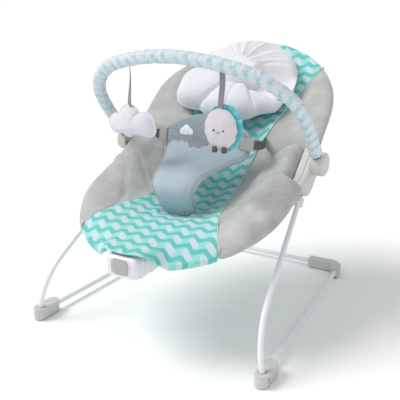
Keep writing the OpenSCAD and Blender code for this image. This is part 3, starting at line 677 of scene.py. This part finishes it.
def side_pad(side, tag):
    n, m = 200, 64
    ys = rows(SEAM_LO, SEAM_HI, n, 0.6)
    over = 0.018 if side < 0 else 0.0    # the left pad laps over its hub
    inner, outer = seam_x(ys) + 0.0002, edge_x(ys, over)
    outer = np.maximum(outer, inner + 0.0003)
    X = inner[:, None] + (outer - inner)[:, None] * rows(0, 1, m, 0.9)[None, :]
    Y = np.repeat(ys[:, None], m, 1)
    d_edge = edge_distance(X, Y, over)
    d_seam = np.maximum(X - seam_x(Y), 0)
    wide = np.maximum(edge_x(Y, over) - seam_x(Y), 1e-4)
    q = d_seam / wide
    seam = seam_dz(Y)
    body = seam + (crest_dz(Y) - seam) * smoothstep(0, 0.62, q)
    # the crease where the back part folds on to the leg part beside the hip
    crease_y = 0.074 - 3.3 * np.clip(0.190 - X, 0, None) ** 2
    off = Y - crease_y
    reach = smoothstep(0.085, 0.120, X)
    body -= reach * 0.019 * np.where(off > 0, np.exp(-off / 0.014), bell(off, 0.006))
    body += reach * 0.006 * bell(off + 0.018, 0.018)
    body += 0.012 * smoothstep(0.128, 0.160, X) * bell(Y - 0.036, 0.050, 4)
    big = flat_perlin(X * side, Y, (0.075, 0.045), 1.7)
    small = flat_perlin(X * side, Y, (0.030, 0.016), 5.3)
    hip = bell(Y - 0.02, 0.10)
    body += 0.0030 * big + 0.0016 * small * (0.35 + hip)
    for px, py, a, ln, w in PAD_FOLDS:
        a = math.radians(a)
        u = (X - px) * math.cos(a) + (Y - py) * math.sin(a)
        v = -(X - px) * math.sin(a) + (Y - py) * math.cos(a)
        body -= 0.0022 * bell(v, w) * bell(u, ln, 4)
    groove = round_edge(d_seam, 0.007)
    lap = smoothstep(0.168, 0.181, X) * bell(Y - 0.038, 0.056, 6) * (over > 0)
    rim = rim_dz(Y) + lap * 0.0175
    body = np.maximum(body, (rim + 0.005) * lap + body * (1 - lap))
    top = rim + (body - rim) * crown(Y, d_edge, 0.020) - 0.004 * (1 - groove) * (1 - 0.9 * at_front(Y))
    under = (seam - 0.008) + (-0.0095 - (seam - 0.008)) * smoothstep(0.25, 0.85, q)
    under = np.minimum(under, body - 0.008) * (1 - lap) + (rim - 0.0005) * lap
    low = rim + (under - rim) * round_edge(d_edge, 0.009)
    low += (seam - 0.003 - low) * np.clip(1 - d_seam / 0.004, 0, 1) * (1 - at_front(Y))
    top = np.maximum(top, low + 0.0003)
    z = plane(Y)
    return closed_sheet("side_pad_plush_" + tag, X * side, Y, z + top, z + low, PLUSH)


def seam_piping(side, tag):
    ys = np.linspace(SEAM_LO + 0.001, SEAM_HI - 0.001, 150)
    xs = side * seam_x(ys)
    fall = crown(ys, edge_distance(xs, ys), 0.011)
    zs = plane(ys) + rim_dz(ys) + (seam_dz(ys) - rim_dz(ys)) * fall - 0.0016
    return tube("seam_piping_" + tag, points(xs, ys, zs), 0.0010, MINT_PIPE, 8)


# ---- soft pieces on the back frame
def back_pt(x, s, h):
    """A point of the back frame: x across, s up the back, h out of it."""
    c, sn = math.cos(BACK_SLOPE), math.sin(BACK_SLOPE)
    return points(x, BEND_Y + s * c - h * sn, BEND_Z + s * sn + h * c)


def cushion(name, radius, faces, place, mat, rings, spokes, pack=1.7):
    """A closed cushion, star-shaped about its centre; faces() gives the heights of its two sides."""
    th = np.linspace(0, 2 * math.pi, spokes, endpoint=False)
    q = 1 - (1 - np.linspace(0, 1, rings)) ** pack
    X, Y = q[:, None] * radius(th) * np.cos(th), q[:, None] * radius(th) * np.sin(th)
    Q, TH = np.repeat(q[:, None], spokes, 1), np.repeat(th[None], rings, 0)
    hi, lo = faces(X, Y, Q, TH)
    lo[-1] = hi[-1]
    hi[0], lo[0] = hi[0].mean(), lo[0].mean()
    vs = np.concatenate([place(X, Y, hi).reshape(-1, 3), place(X, Y, lo).reshape(-1, 3)])
    k = rings * spokes
    low = [f[::-1] for f in grid_faces(rings, spokes, k, close=True)]
    return make(name, vs, grid_faces(rings, spokes, close=True) + low, mat)


DOME_UP, PILLOW_UP = 0.206, 0.200        # centres of the head pad and the pillow, up the back


def dome_radius(th):
    """Outline of the head pad: a circle cut off below by a soft straight line."""
    s, c = np.sin(th), np.cos(th)
    r = -0.026 * s + np.sqrt(0.118**2 - (0.026 * c) ** 2)
    cut = 0.062 / np.maximum(-s, 1e-3)
    return (r**-6 + cut**-6) ** (-1 / 6)


def head_dome():
    pleats = np.radians(np.linspace(12, 168, 16) + 2.5 * np.sin(np.arange(16) * 2.3))

    def faces(X, Y, q, th):
        rim, rho = 0.032, np.hypot(X, Y)
        body = 0.069 - 0.040 * fade(-0.016, 0.020, Y) * smoothstep(0.034, 0.052, rho)
        top = rim + (body - rim) * (1 - q**2.5) ** 0.5
        fold = np.zeros_like(q)
        for k, a in enumerate(pleats):
            b = a + 0.05 * math.sin(3.1 * k) * q
            w = 0.030 + 0.016 * q
            off = (th - b + math.pi) % (2 * math.pi) - math.pi
            fold += (0.8 + 0.3 * math.sin(1.7 * k)) * bell(off, w)
        ends = smoothstep(0.12, 0.34, q) * fade(0.78, 1.0, q)
        top = top - 0.0042 * fold * ends + 0.0016 * flat_perlin(X, Y, (0.05, 0.05), 2.2) * (1 - q**6)
        low = rim - (rim - 0.006) * (1 - q**8) ** 0.5
        return np.maximum(top, low + 0.0002), low
    o = cushion("head_dome_plush", dome_radius, faces, lambda X, Y, h: back_pt(X, DOME_UP + Y, h), DOME,
                46, 260)
    th = np.linspace(0, 2 * math.pi, 181)
    r = dome_radius(th) + 0.0004
    path = back_pt(r * np.cos(th), DOME_UP + r * np.sin(th), 0.032)
    return o, tube("head_dome_piping", path, 0.0015, PILLOW, 8)


def head_pillow():
    """A half ring round the head pad's lower side; its outline is given by radii over an angle in degrees."""
    outer = smooth_table([(-100, 0.118), (-90, 0.131), (-72, 0.143), (-62, 0.148), (-54, 0.141),
                          (-45, 0.125), (-36, 0.112), (-20, 0.112), (0, 0.111), (20, 0.109),
                          (36, 0.106), (45, 0.112), (54, 0.122), (62, 0.126), (72, 0.124)])
    inner = smooth_table([(-100, 0.040), (-60, 0.030), (-30, 0.022), (24, 0.024), (44, 0.056),
                          (60, 0.090), (72, 0.116)])
    n, m = 250, 60
    al = rows(-100, 68, n, 0.5)
    t = rows(0, 1, m, 0.8)
    end = np.sqrt(np.clip(1 - np.clip((-80 - al) / 20, 0, 1) ** 2, 0.0004, 1))
    end = np.where(al < 0, end, np.clip((68 - al) / 16, 0.02, 1) ** 0.8)
    mid, half = (outer(al) + inner(al)) / 2, (outer(al) - inner(al)) / 2 * end
    RHO = mid[:, None] + half[:, None] * (2 * t[None] - 1)
    AL = np.repeat(al[:, None], m, 1)
    A = np.radians(AL)
    X, S = RHO * np.sin(A), PILLOW_UP - RHO * np.cos(A)
    d_out, d_in = (mid + half)[:, None] - RHO, RHO - (mid - half)[:, None]
    arc = math.pi / 180 * 0.085          # metres a degree, at the ring's middle
    d_end = np.minimum(100 + AL, 68 - AL) * arc
    dome = round_edge(d_out, 0.040) * round_edge(d_in, 0.030) * round_edge(d_end, 0.030)
    rim = 0.024
    off = (np.abs(AL) - 36 + 30 * (RHO - 0.08)) * arc
    body = 0.059 - 0.009 * bell(off, 0.0045) - 0.005 * bell(off, 0.018)
    body -= 0.016 * smoothstep(38, 62, AL)
    body -= 0.0022 * bell((AL - 2) * 0.0015, 0.0022)
    body += 0.0022 * flat_perlin(X, S, (0.05, 0.04), 4.4) + 0.0009 * flat_perlin(X, S, (0.018, 0.016), 7.7)
    for k in range(18):
        a0 = -90 + 10.6 * k
        off = AL - a0 - 3 * math.sin(5 * k)
        body -= 0.0016 * bell(off * 0.0015, 0.0032) * bell(d_in, 0.022)
        off = AL - a0 - 5
        body -= 0.0012 * bell(off * 0.0015, 0.0035) * bell(d_out, 0.020)
    top = rim + (body - rim) * dome
    base = 0.008 + 0.020 * fade(0.070, 0.095, RHO)
    low = rim + (base - rim) * dome ** 0.6
    o = closed_grid("head_pillow_plush", back_pt(X, S, np.maximum(top, low)), back_pt(X, S, low), PILLOW)
    r = np.concatenate([mid + half, (mid - half)[::-1], (mid + half)[:1]])
    a = np.radians(np.concatenate([al, al[::-1], al[:1]]))
    path = back_pt(r * np.sin(a), PILLOW_UP - r * np.cos(a), rim)
    return o, tube("head_pillow_piping", path, 0.0012, PILLOW, 8)


# half-width, y and z down the harness panel, from where it is sewn on to its top edge, in millimetres
HARNESS = ((33, -100, 212), (39, -129, 262), (45, -116, 287), (49, -95, 298), (57, -64, 305),
           (70, -30, 312), (84, -5, 318), (88, 4, 326), (88, 9, 340), (84, 10, 350), (74, 12, 358),
           (56, 15, 366), (36, 19, 373), (14, 22, 378), (3, 22.6, 379))


def harness_pad():
    c = spline_path(np.array(HARNESS) / 1000, 7)
    n, m = len(c), 81
    w, y, z = c[:, 0], c[:, 1], c[:, 2]
    ty, tz = np.gradient(y), np.gradient(z)
    ln = np.hypot(ty, tz)
    ny, nz = -tz / ln, ty / ln
    run = running(y, z)
    u = np.linspace(-1, 1, m)
    u = np.sign(u) * (1 - (1 - np.abs(u)) ** 1.5)
    U, RUN = np.repeat(u[None], n, 0), np.repeat(run[:, None], m, 1)
    X = w[:, None] * U
    d_edge = w[:, None] * (1 - np.abs(U))
    d_top = (run[-1] - run)[:, None]
    thick = 0.0012 + 0.0042 * round_edge(d_edge, 0.009) * round_edge(d_top, 0.010)
    upright = smoothstep(0.318, 0.335, z)[:, None]
    drop = -(0.010 * (1 - upright) + 0.003 * upright) * np.abs(U) ** 3
    waves = 0.0016 * flat_perlin(X, RUN, (0.045, 0.030), 6.1)
    waves += 0.0006 * flat_perlin(X, RUN, (0.016, 0.012), 9.1)
    fold = np.zeros_like(X)
    for k in range(9):
        x0 = (k - 4) * 0.009
        fold += bell(X - x0 * (1 + 0.4 * RUN / 0.06), 0.0022)
    fold *= bell(RUN, 0.040)
    stitch = bell(d_edge - 0.0085, 0.0012) * 0.0009
    mid = drop + waves - 0.0022 * fold
    hi, lo = mid + thick - stitch, mid - thick

    def at(off):
        return points(X, y[:, None] + ny[:, None] * off, z[:, None] + nz[:, None] * off)

    o = closed_grid("harness_pad_cloth", at(hi), at(lo), CLOTH)
    store_cloth(o, X, run[-1] - RUN)
    e = at(mid)
    e[..., 0] += 0.0016 * np.sign(U) * (np.abs(U) > 0.999)
    path = np.concatenate([e[2:-4, -1], e[2:-4, 0][::-1]])
    return o, tube("harness_piping", path, 0.0029, PIPE, 10)


def ribbon(name, path, across, width, thick, mat):
    """A flat strip of webbing along a path; across is its width direction, width may vary."""
    P = np.asarray(path, float)
    T = np.gradient(P, axis=0)
    T /= np.linalg.norm(T, axis=1)[:, None]
    W = np.broadcast_to(np.asarray(across, float), P.shape)
    W = W - T * (W * T).sum(1)[:, None]
    W = W / np.linalg.norm(W, axis=1)[:, None]
    N = np.cross(T, W)
    half = [(-0.5, -0.25), (-0.47, -0.5), (-0.16, -0.5), (0.16, -0.5), (0.47, -0.5), (0.5, -0.25)]
    section = half + [(-a, -b) for a, b in half]
    width = np.broadcast_to(width, (len(P),))[:, None]
    rings = np.stack([P + a * width * W + b * thick * N for a, b in section], 1)
    return loft(name, rings, mat)


def waist_strap(side, tag):
    """The short webbing from the harness panel to the buckle."""
    # millimetres across from the panel's edge, up the belt's slope and out of it
    pts = [(20.2, 0, -4), (20.2, 0, 3), (20.7, 0, 6.6), (23.4, 0, 7.8), (26.2, 0, 6.6), (26.9, 0, 2),
           (26.8, 0, -8), (25, 1, -26), (18, 3, -50), (6, 7, -76), (2, 8, -84)]
    x, y, z = spline_path(np.array(pts) / 1000, 6).T
    up = np.array((0, math.cos(BELT_SLOPE), math.sin(BELT_SLOPE)))
    path = points(side * (0.084 + x), BEND_Y - 0.0285 + y * up[1] - z * up[2],
                  BEND_Z + 0.052 + y * up[2] + z * up[1])
    return ribbon("waist_webbing_" + tag, path, up, 0.016, 0.0016, WEB)


# ---- toy bar
def bar_pt(x, v):
    """A point of the bar's plane: x across, v out from the knobs' axis."""
    return points(x, KNOB_Y + v * math.cos(BAR_TILT), KNOB_Z + v * math.sin(BAR_TILT))


def bar_line(low, n):
    """Centreline of the bar from its left end to its right end, evenly spaced, and the distance along it."""
    def arc(x, v, r, lo, hi, n, **kw):
        return [(x + r * math.cos(t), v + r * math.sin(t)) for t in np.linspace(lo, hi, n, **kw)]

    sx, crown_v = BAR_HALF - SHOULDER_R, BAR_RISE - CROWN_R
    a = math.asin(sx / (CROWN_R - SHOULDER_R))
    sv = crown_v + (CROWN_R - SHOULDER_R) * math.cos(a)
    half = [(BAR_HALF, v) for v in np.linspace(low, sv, 40, endpoint=False)]
    half += arc(sx, sv, SHOULDER_R, 0, math.pi / 2 - a, 60, endpoint=False)
    half += arc(0, crown_v, CROWN_R, math.pi / 2 - a, math.pi / 2, 40)
    p = np.array([(-x, v) for x, v in half] + half[::-1][1:])
    s = running(*p.T)
    t = np.linspace(0, s[-1], n)
    return bar_pt(np.interp(t, s, p[:, 0]), np.interp(t, s, p[:, 1])), t


def sleeve():
    n, sides, rod_r = 560, 36, 0.0062
    path, t = bar_line(0.0275, n)
    ang = np.linspace(0, 2 * math.pi, sides, endpoint=False)
    S, A = np.meshgrid(t, ang, indexing="ij")
    P = points(S, 0.012 * np.cos(A), 0.012 * np.sin(A)).reshape(-1, 3)
    rip = perlin(P, (0.0045, 0.016, 0.016), 1.3).reshape(S.shape)
    big = perlin(P, (0.018, 0.02, 0.02), 8.3).reshape(S.shape)
    r = 0.0120 + 0.0010 * rip + 0.0007 * big
    seam = np.minimum(np.abs(A - math.pi), 1) / 0.16
    r += 0.0016 * bell(seam, 1) * (0.7 + 0.5 * rip) - 0.0006 * bell(seam - 2.2, 1)
    d_end = np.minimum(S, t[-1] - S)
    r = rod_r + (r - rod_r) * round_edge(d_end, 0.008)
    r += 0.0005 * np.cos(A * 14) * bell(d_end, 0.012) * smoothstep(0.001, 0.004, d_end)
    o = tube("bar_sleeve_cloth", path, r, SLEEVE, sides)
    store_cloth(o, 0.012 * A, S, 1)
    return o


HANG_V = BAR_RISE - CROWN_R + math.sqrt(CROWN_R**2 - TOY_X**2)
HANG = {side: bar_pt(side * TOY_X, HANG_V) for side in (-1, 1)}      # the bar's centre over each toy


def toy_ribbon(side, name, low, turn, width):
    """The ribbon a toy hangs by; its direction and width go from the sewn top's to the toy's."""
    z = np.linspace(-0.0085, -low, 26)
    f = (z - z[0]) / (z[-1] - z[0])
    path = HANG[side] + points(0.0010 * np.sin(5 * f), 0.0012 * np.sin(4 * f + 1), z)
    ang = np.radians(turn[0] + (turn[1] - turn[0]) * f)
    across = points(np.cos(ang), np.sin(ang), 0.0)
    return ribbon(name, path, across, width[0] + (width[1] - width[0]) * f, 0.0012, RIBBON)


def lobed(circles, box, centre):
    """Outline radius about the centre of a union of circles (x, y, r) and a box (x0, y0, x1, y1), in
    millimetres."""
    def radius(th):
        c, s = np.cos(th), np.sin(th)
        best = np.zeros_like(th)
        for x, y, r in circles:
            dx, dy = x - centre[0], y - centre[1]
            b = dx * c + dy * s
            disc = r * r - (dx * dx + dy * dy - b * b)
            best = np.maximum(best, np.where(disc > 0, b + np.sqrt(np.maximum(disc, 0)), 0))
        tx = np.where(c > 0, box[2] - centre[0], centre[0] - box[0]) / np.maximum(np.abs(c), 1e-6)
        ty = np.where(s > 0, box[3] - centre[1], centre[1] - box[1]) / np.maximum(np.abs(s), 1e-6)
        best = np.maximum(best, np.minimum(tx, ty))
        blur = np.array([1, 3, 5, 3, 1]) / 13
        return np.convolve(np.concatenate([best[-2:], best, best[:2]]), blur, "valid") / 1000
    return radius


def cloud():
    circles = [(-5, -25, 24), (-33, -38, 19), (28, -33, 21), (-8, -44, 18), (38, -44, 14)]
    c = (0, -38)
    rad = lobed(circles, (-33, -57, 39, -37), c)
    org = HANG[-1] + np.array((0.003, 0, -0.0783 + c[1] / 1000))

    def faces(X, Y, q, th):
        core = np.clip(q / 0.90, 0, 1)
        dimples = 0.10 * bell(q - 0.5, 0.2) * (0.5 - 0.5 * np.cos(5 * th))
        puff = 0.0146 * (1 - core**2.6) ** 0.62 * (1 - dimples)
        puff += 0.0008 * flat_perlin(X, Y, (0.02, 0.02), 3.3) * (1 - q**4)
        flange = 0.0011 * np.sqrt(np.clip(1 - ((q - 0.9) / 0.1) ** 8, 0, 1)) * (q > 0.8)
        h = np.maximum(puff, flange)
        h[-1] = 0
        return h, -h

    return cushion("cloud_toy_plush", rad, faces, lambda X, Y, h: org + points(X, -h, Y),
                   TOY_WHITE, 40, 220, 1.4)


LAMB = HANG[1] + np.array((0.001, 0, -0.1055))       # the middle of the lamb toy


def lamb_at(x, y, z):
    """Points given from the lamb toy's middle."""
    return LAMB + points(x, y, z)


def lamb_face():
    def faces(X, Y, q, th):
        h = 0.0085 * (1 - q**2.4) ** 0.6 + 0.0006 * flat_perlin(X, Y, (0.012, 0.012), 5.5) * (1 - q**4)
        cheeks = sum(0.0016 * bell(np.hypot(X - x, Y + 0.006), 0.009) for x in (-0.011, 0.011))
        return h + cheeks * (1 - q**4), -0.0025 * (1 - q**4) ** 0.5

    def radius(th):
        return (0.0295 + 0.0014 * np.abs(np.cos(5.5 * th))) * (1 + 0.14 * np.sin(th) ** 2)

    return cushion("lamb_face_plush", radius, faces, lambda X, Y, h: lamb_at(X, -0.003 - h, Y),
                   FACE, 34, 180, 1.5)


def lamb_disc():
    def faces(X, Y, q, th):
        mid = 0.0020 * np.cos(15 * th + 0.5 * np.sin(3 * th)) * q**3
        mid += 0.0008 * flat_perlin(X, Y, (0.008, 0.008), 2.9)
        t = 0.0010 * np.sqrt(1 - q**10)
        return mid + t, mid - t

    def radius(th):
        return (0.0345 + 0.0010 * np.cos(15 * th)) * (1 + 0.17 * np.sin(th) ** 2)

    return cushion("lamb_teal_cloth", radius, faces, lambda X, Y, h: lamb_at(0.004 + X, 0.004 - h, 0.001 + Y),
                   TEAL, 36, 240, 1.3)


def lamb_foot(side, tag):
    z = np.linspace(0, 1, 22)
    toe = np.sqrt(np.clip(1 - np.clip((z - 0.70) / 0.30, 0, 1) ** 2, 0.002, 1))
    r = 0.0052 * toe * (0.80 + 0.20 * smoothstep(0.1, 0.6, z))
    return tube("lamb_foot_" + tag, lamb_at(side * 0.009, -0.007, -0.0300 - 0.0105 * z), r, FOOT, 20)


def lamb_bead(name, x, y, z, depth, r, n, mat):
    """A small rounded bump that stands out of the face by its depth."""
    t = np.linspace(0, 1, n)
    return tube(name, lamb_at(x, y - depth * t, z), r * np.sqrt(np.clip(1 - t**2, 0.003, 1)), mat, 16)


def lamb_mouth():
    t = np.linspace(-1, 1, 25)
    path = lamb_at(0.0032 * t, -0.0126 - 0.0004 * (1 - t * t), -0.0052 + 0.0014 * t * t)
    return tube("lamb_mouth_stitch", path, 0.0004, FOOT, 6)


# ---- moulded shells
def stadium(half, r, n=20):
    """A rounded bar's outline: half-length between the arcs' centres, and their radius."""
    a = np.linspace(-math.pi / 2, math.pi / 2, n)
    one = np.stack([half + r * np.cos(a), r * np.sin(a)], -1)
    return np.concatenate([one, -one])


def fillet(x0, x1, r0, r1, n=8):
    """(position, inset) pairs from x0 to x1 with rounded ends of radius r0 and r1."""
    a = np.linspace(0, math.pi / 2, n)
    lo = [(x0 + r0 * (1 - math.cos(t)), r0 * (1 - math.sin(t))) for t in a]
    hi = [(x1 - r1 * (1 - math.sin(t)), r1 * (1 - math.cos(t))) for t in a]
    return lo + hi


def hub_shell(side, tag, inner):
    if inner:
        levels = fillet(HUB_IN, HUB_SPLIT - GAP, 0.0030, 0.0006)
    else:
        levels = fillet(HUB_SPLIT + GAP, HUB_OUT, 0.0006, 0.0080, 10)
    rings = []
    for x, inset in levels:
        p = stadium(0.0305, 0.022 - inset)
        rings.append(back_pt(side * x, 0.015 + p[:, 0], -0.008 + p[:, 1]))
    return loft("hub_shell_" + tag, rings, GREY)


def hub_arm(side, tag, inner):
    """The arm that reaches forward over the front loop's end."""
    lo, hi = (HUB_IN + 0.0002, HUB_SPLIT - GAP) if inner else (HUB_SPLIT + GAP, HUB_OUT - 0.0004)
    r_in, r_out = (0.005, 0.0006) if inner else (0.0006, 0.005)
    c, sn = math.cos(LEG_SLOPE), math.sin(LEG_SLOPE)
    a = np.linspace(0, math.pi / 2, 6)
    up, across = np.sin(a), np.cos(a)
    rings = []
    for d, g in fillet(0.004, 0.046, 0.001, 0.005, 7):
        h = 0.0105 - 0.0015 * smoothstep(0.01, 0.046, d) - g
        x0, x1 = (lo + 0.0005 + g, hi) if inner else (lo, hi - g)
        x = np.concatenate([x1 - r_out + r_out * across, x0 + r_in - r_in * up,
                            x0 + r_in - r_in * across, x1 - r_out + r_out * up])
        z = np.concatenate([h - r_out + r_out * up, h - r_in + r_in * across,
                            -h + r_in - r_in * up, -h + r_out - r_out * across])
        rings.append(points(side * x, BEND_Y - d * c - z * sn, BEND_Z - d * sn + z * c))
    return loft("hub_arm_" + tag, rings, GREY)


def round_rect(w, h, r, n):
    """Outline of a rectangle with round corners, from its half-width and half-height."""
    a = np.linspace(0, math.pi / 2, n)
    p = []
    for k, (sx, sz) in enumerate(((1, 1), (-1, 1), (-1, -1), (1, -1))):
        b = a + k * math.pi / 2
        p += [(sx * (w - r) + r * math.cos(t), sz * (h - r) + r * math.sin(t)) for t in b]
    return np.array(p)


def upright_ring(p, y, z):
    """An outline stood up across the seat at y, with its middle at height z."""
    return points(p[:, 0], y, z + p[:, 1])


def unit_ring(y, inset):
    w = 0.031 + 0.011 * max(0, (y + 0.2762) / 0.0482)
    h = 0.0195 - 0.006 * max(0, (y + 0.262) / 0.033)
    p = round_rect(w - inset, h - inset, max(0.010 - inset * 0.55, 0.003), 9)
    return upright_ring(p, y, UNIT_Z)


def unit_half(name, *span):
    return loft(name, [unit_ring(y, g) for y, g in fillet(*span)], WHITE)


def unit_button():
    levels = fillet(UNIT_FRONT - 0.0018, UNIT_FRONT + 0.0032, 0.0028, 0.0002, 8)
    rings = [upright_ring(round_rect(0.0165 - g, 0.0130 - g, 0.008 - 0.5 * g, 9), y, BUTTON_Z)
             for y, g in levels]
    return loft("unit_button_cap", rings, BUTTON)


def unit_bezel():
    p = round_rect(0.0186, 0.0151, 0.0095, 12)
    p = np.concatenate([p, p[:1]])
    return tube("unit_bezel", upright_ring(p, UNIT_FRONT, BUTTON_Z), 0.0015, WHITE, 12)


# ---- each piece on its body
def part(o, body, node=None):
    """Rides a piece on its body, and hides the CAD node it stands for."""
    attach(o, body)
    if node:
        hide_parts(node)


def pad(pieces, node):
    """A cushion of the seat and its piping."""
    part(pieces[0], "seat", node)
    part(pieces[1], "seat")


part(seat_panel(), "seat", "seat_panel")
for side, tag in SIDES:
    part(side_pad(side, tag), "seat", "side_pad_" + tag)
for side, tag in SIDES:
    part(seam_piping(side, tag), "seat")
pad(head_dome(), "head_pad")
pad(head_pillow(), "head_pillow")
pad(harness_pad(), "crotch_pad")
for side, tag in SIDES:
    part(waist_strap(side, tag), "seat", "waist_strap_" + tag)
    for half in ("inner", "outer"):
        name = half + "_" + tag
        part(hub_shell(side, name, half == "inner"), "seat", "hub_" + name)
        part(hub_arm(side, name, half == "inner"), "seat")

part(sleeve(), "toy_bar", "bar_sleeve")
part(toy_ribbon(-1, "cloud_ribbon", 0.086, (-57, -22), (0.009, 0.012)), "cloud",
     "cloud_strap")
part(toy_ribbon(1, "lamb_ribbon", 0.076, (12, 0), (0.010, 0.010)), "lamb", "lamb_strap")
part(cloud(), "cloud", "cloud_toy")
part(lamb_face(), "lamb", "lamb_face")
part(lamb_disc(), "lamb", "lamb_disc")
for side, tag in SIDES:
    part(lamb_foot(side, tag), "lamb", "lamb_feet" if side < 0 else None)
    part(lamb_bead("lamb_eye_" + tag, side * 0.0090, -0.0122, -0.0010, 0.0024, 0.0019, 10, FOOT),
         "lamb")
part(lamb_mouth(), "lamb")
part(lamb_bead("lamb_nose", 0, -0.0115, -0.0016, 0.0020, 0.0012, 9, NOSE), "lamb")

part(unit_half("unit_shell", UNIT_FRONT, UNIT_SPLIT - GAP, 0.0085, 0.0006, 12),
     "seat", "unit_housing")
part(unit_half("unit_cover", UNIT_SPLIT + GAP, UNIT_BACK, 0.0006, 0.004, 8),
     "seat", "unit_back_cover")
part(unit_button(), "button", "unit_button")
part(unit_bezel(), "seat")

# ---- finishes of the CAD nodes
FINISH = {
    "painted_tube": PAINT, "grey_plastic": GREY, "foot_rubber": RUBBER, "screw_steel": STEEL,
    "white_plastic": WHITE, "board": BOARD, "dark_plastic": BLACK, "mint_print": GREY,
    "grey_plush": PLUSH, "white_plush": CREAM, "blue_grey_cloth": CLOTH, "dark_webbing": WEB,
    "teal_cloth": TEAL,
}
slots = {s["node"]: s["material_slot"] for s in frame["record"]["subparts"]}
for node, o in frame["nodes"].items():
    o.data.materials.clear()
    # buckle parts take the darker copy of the grey plastic, with their shade painted in
    buckle = node.startswith(("receiver", "tongue"))
    o.data.materials.append((SHADED_BUCKLE if buckle else FINISH[slots[node]]).m)
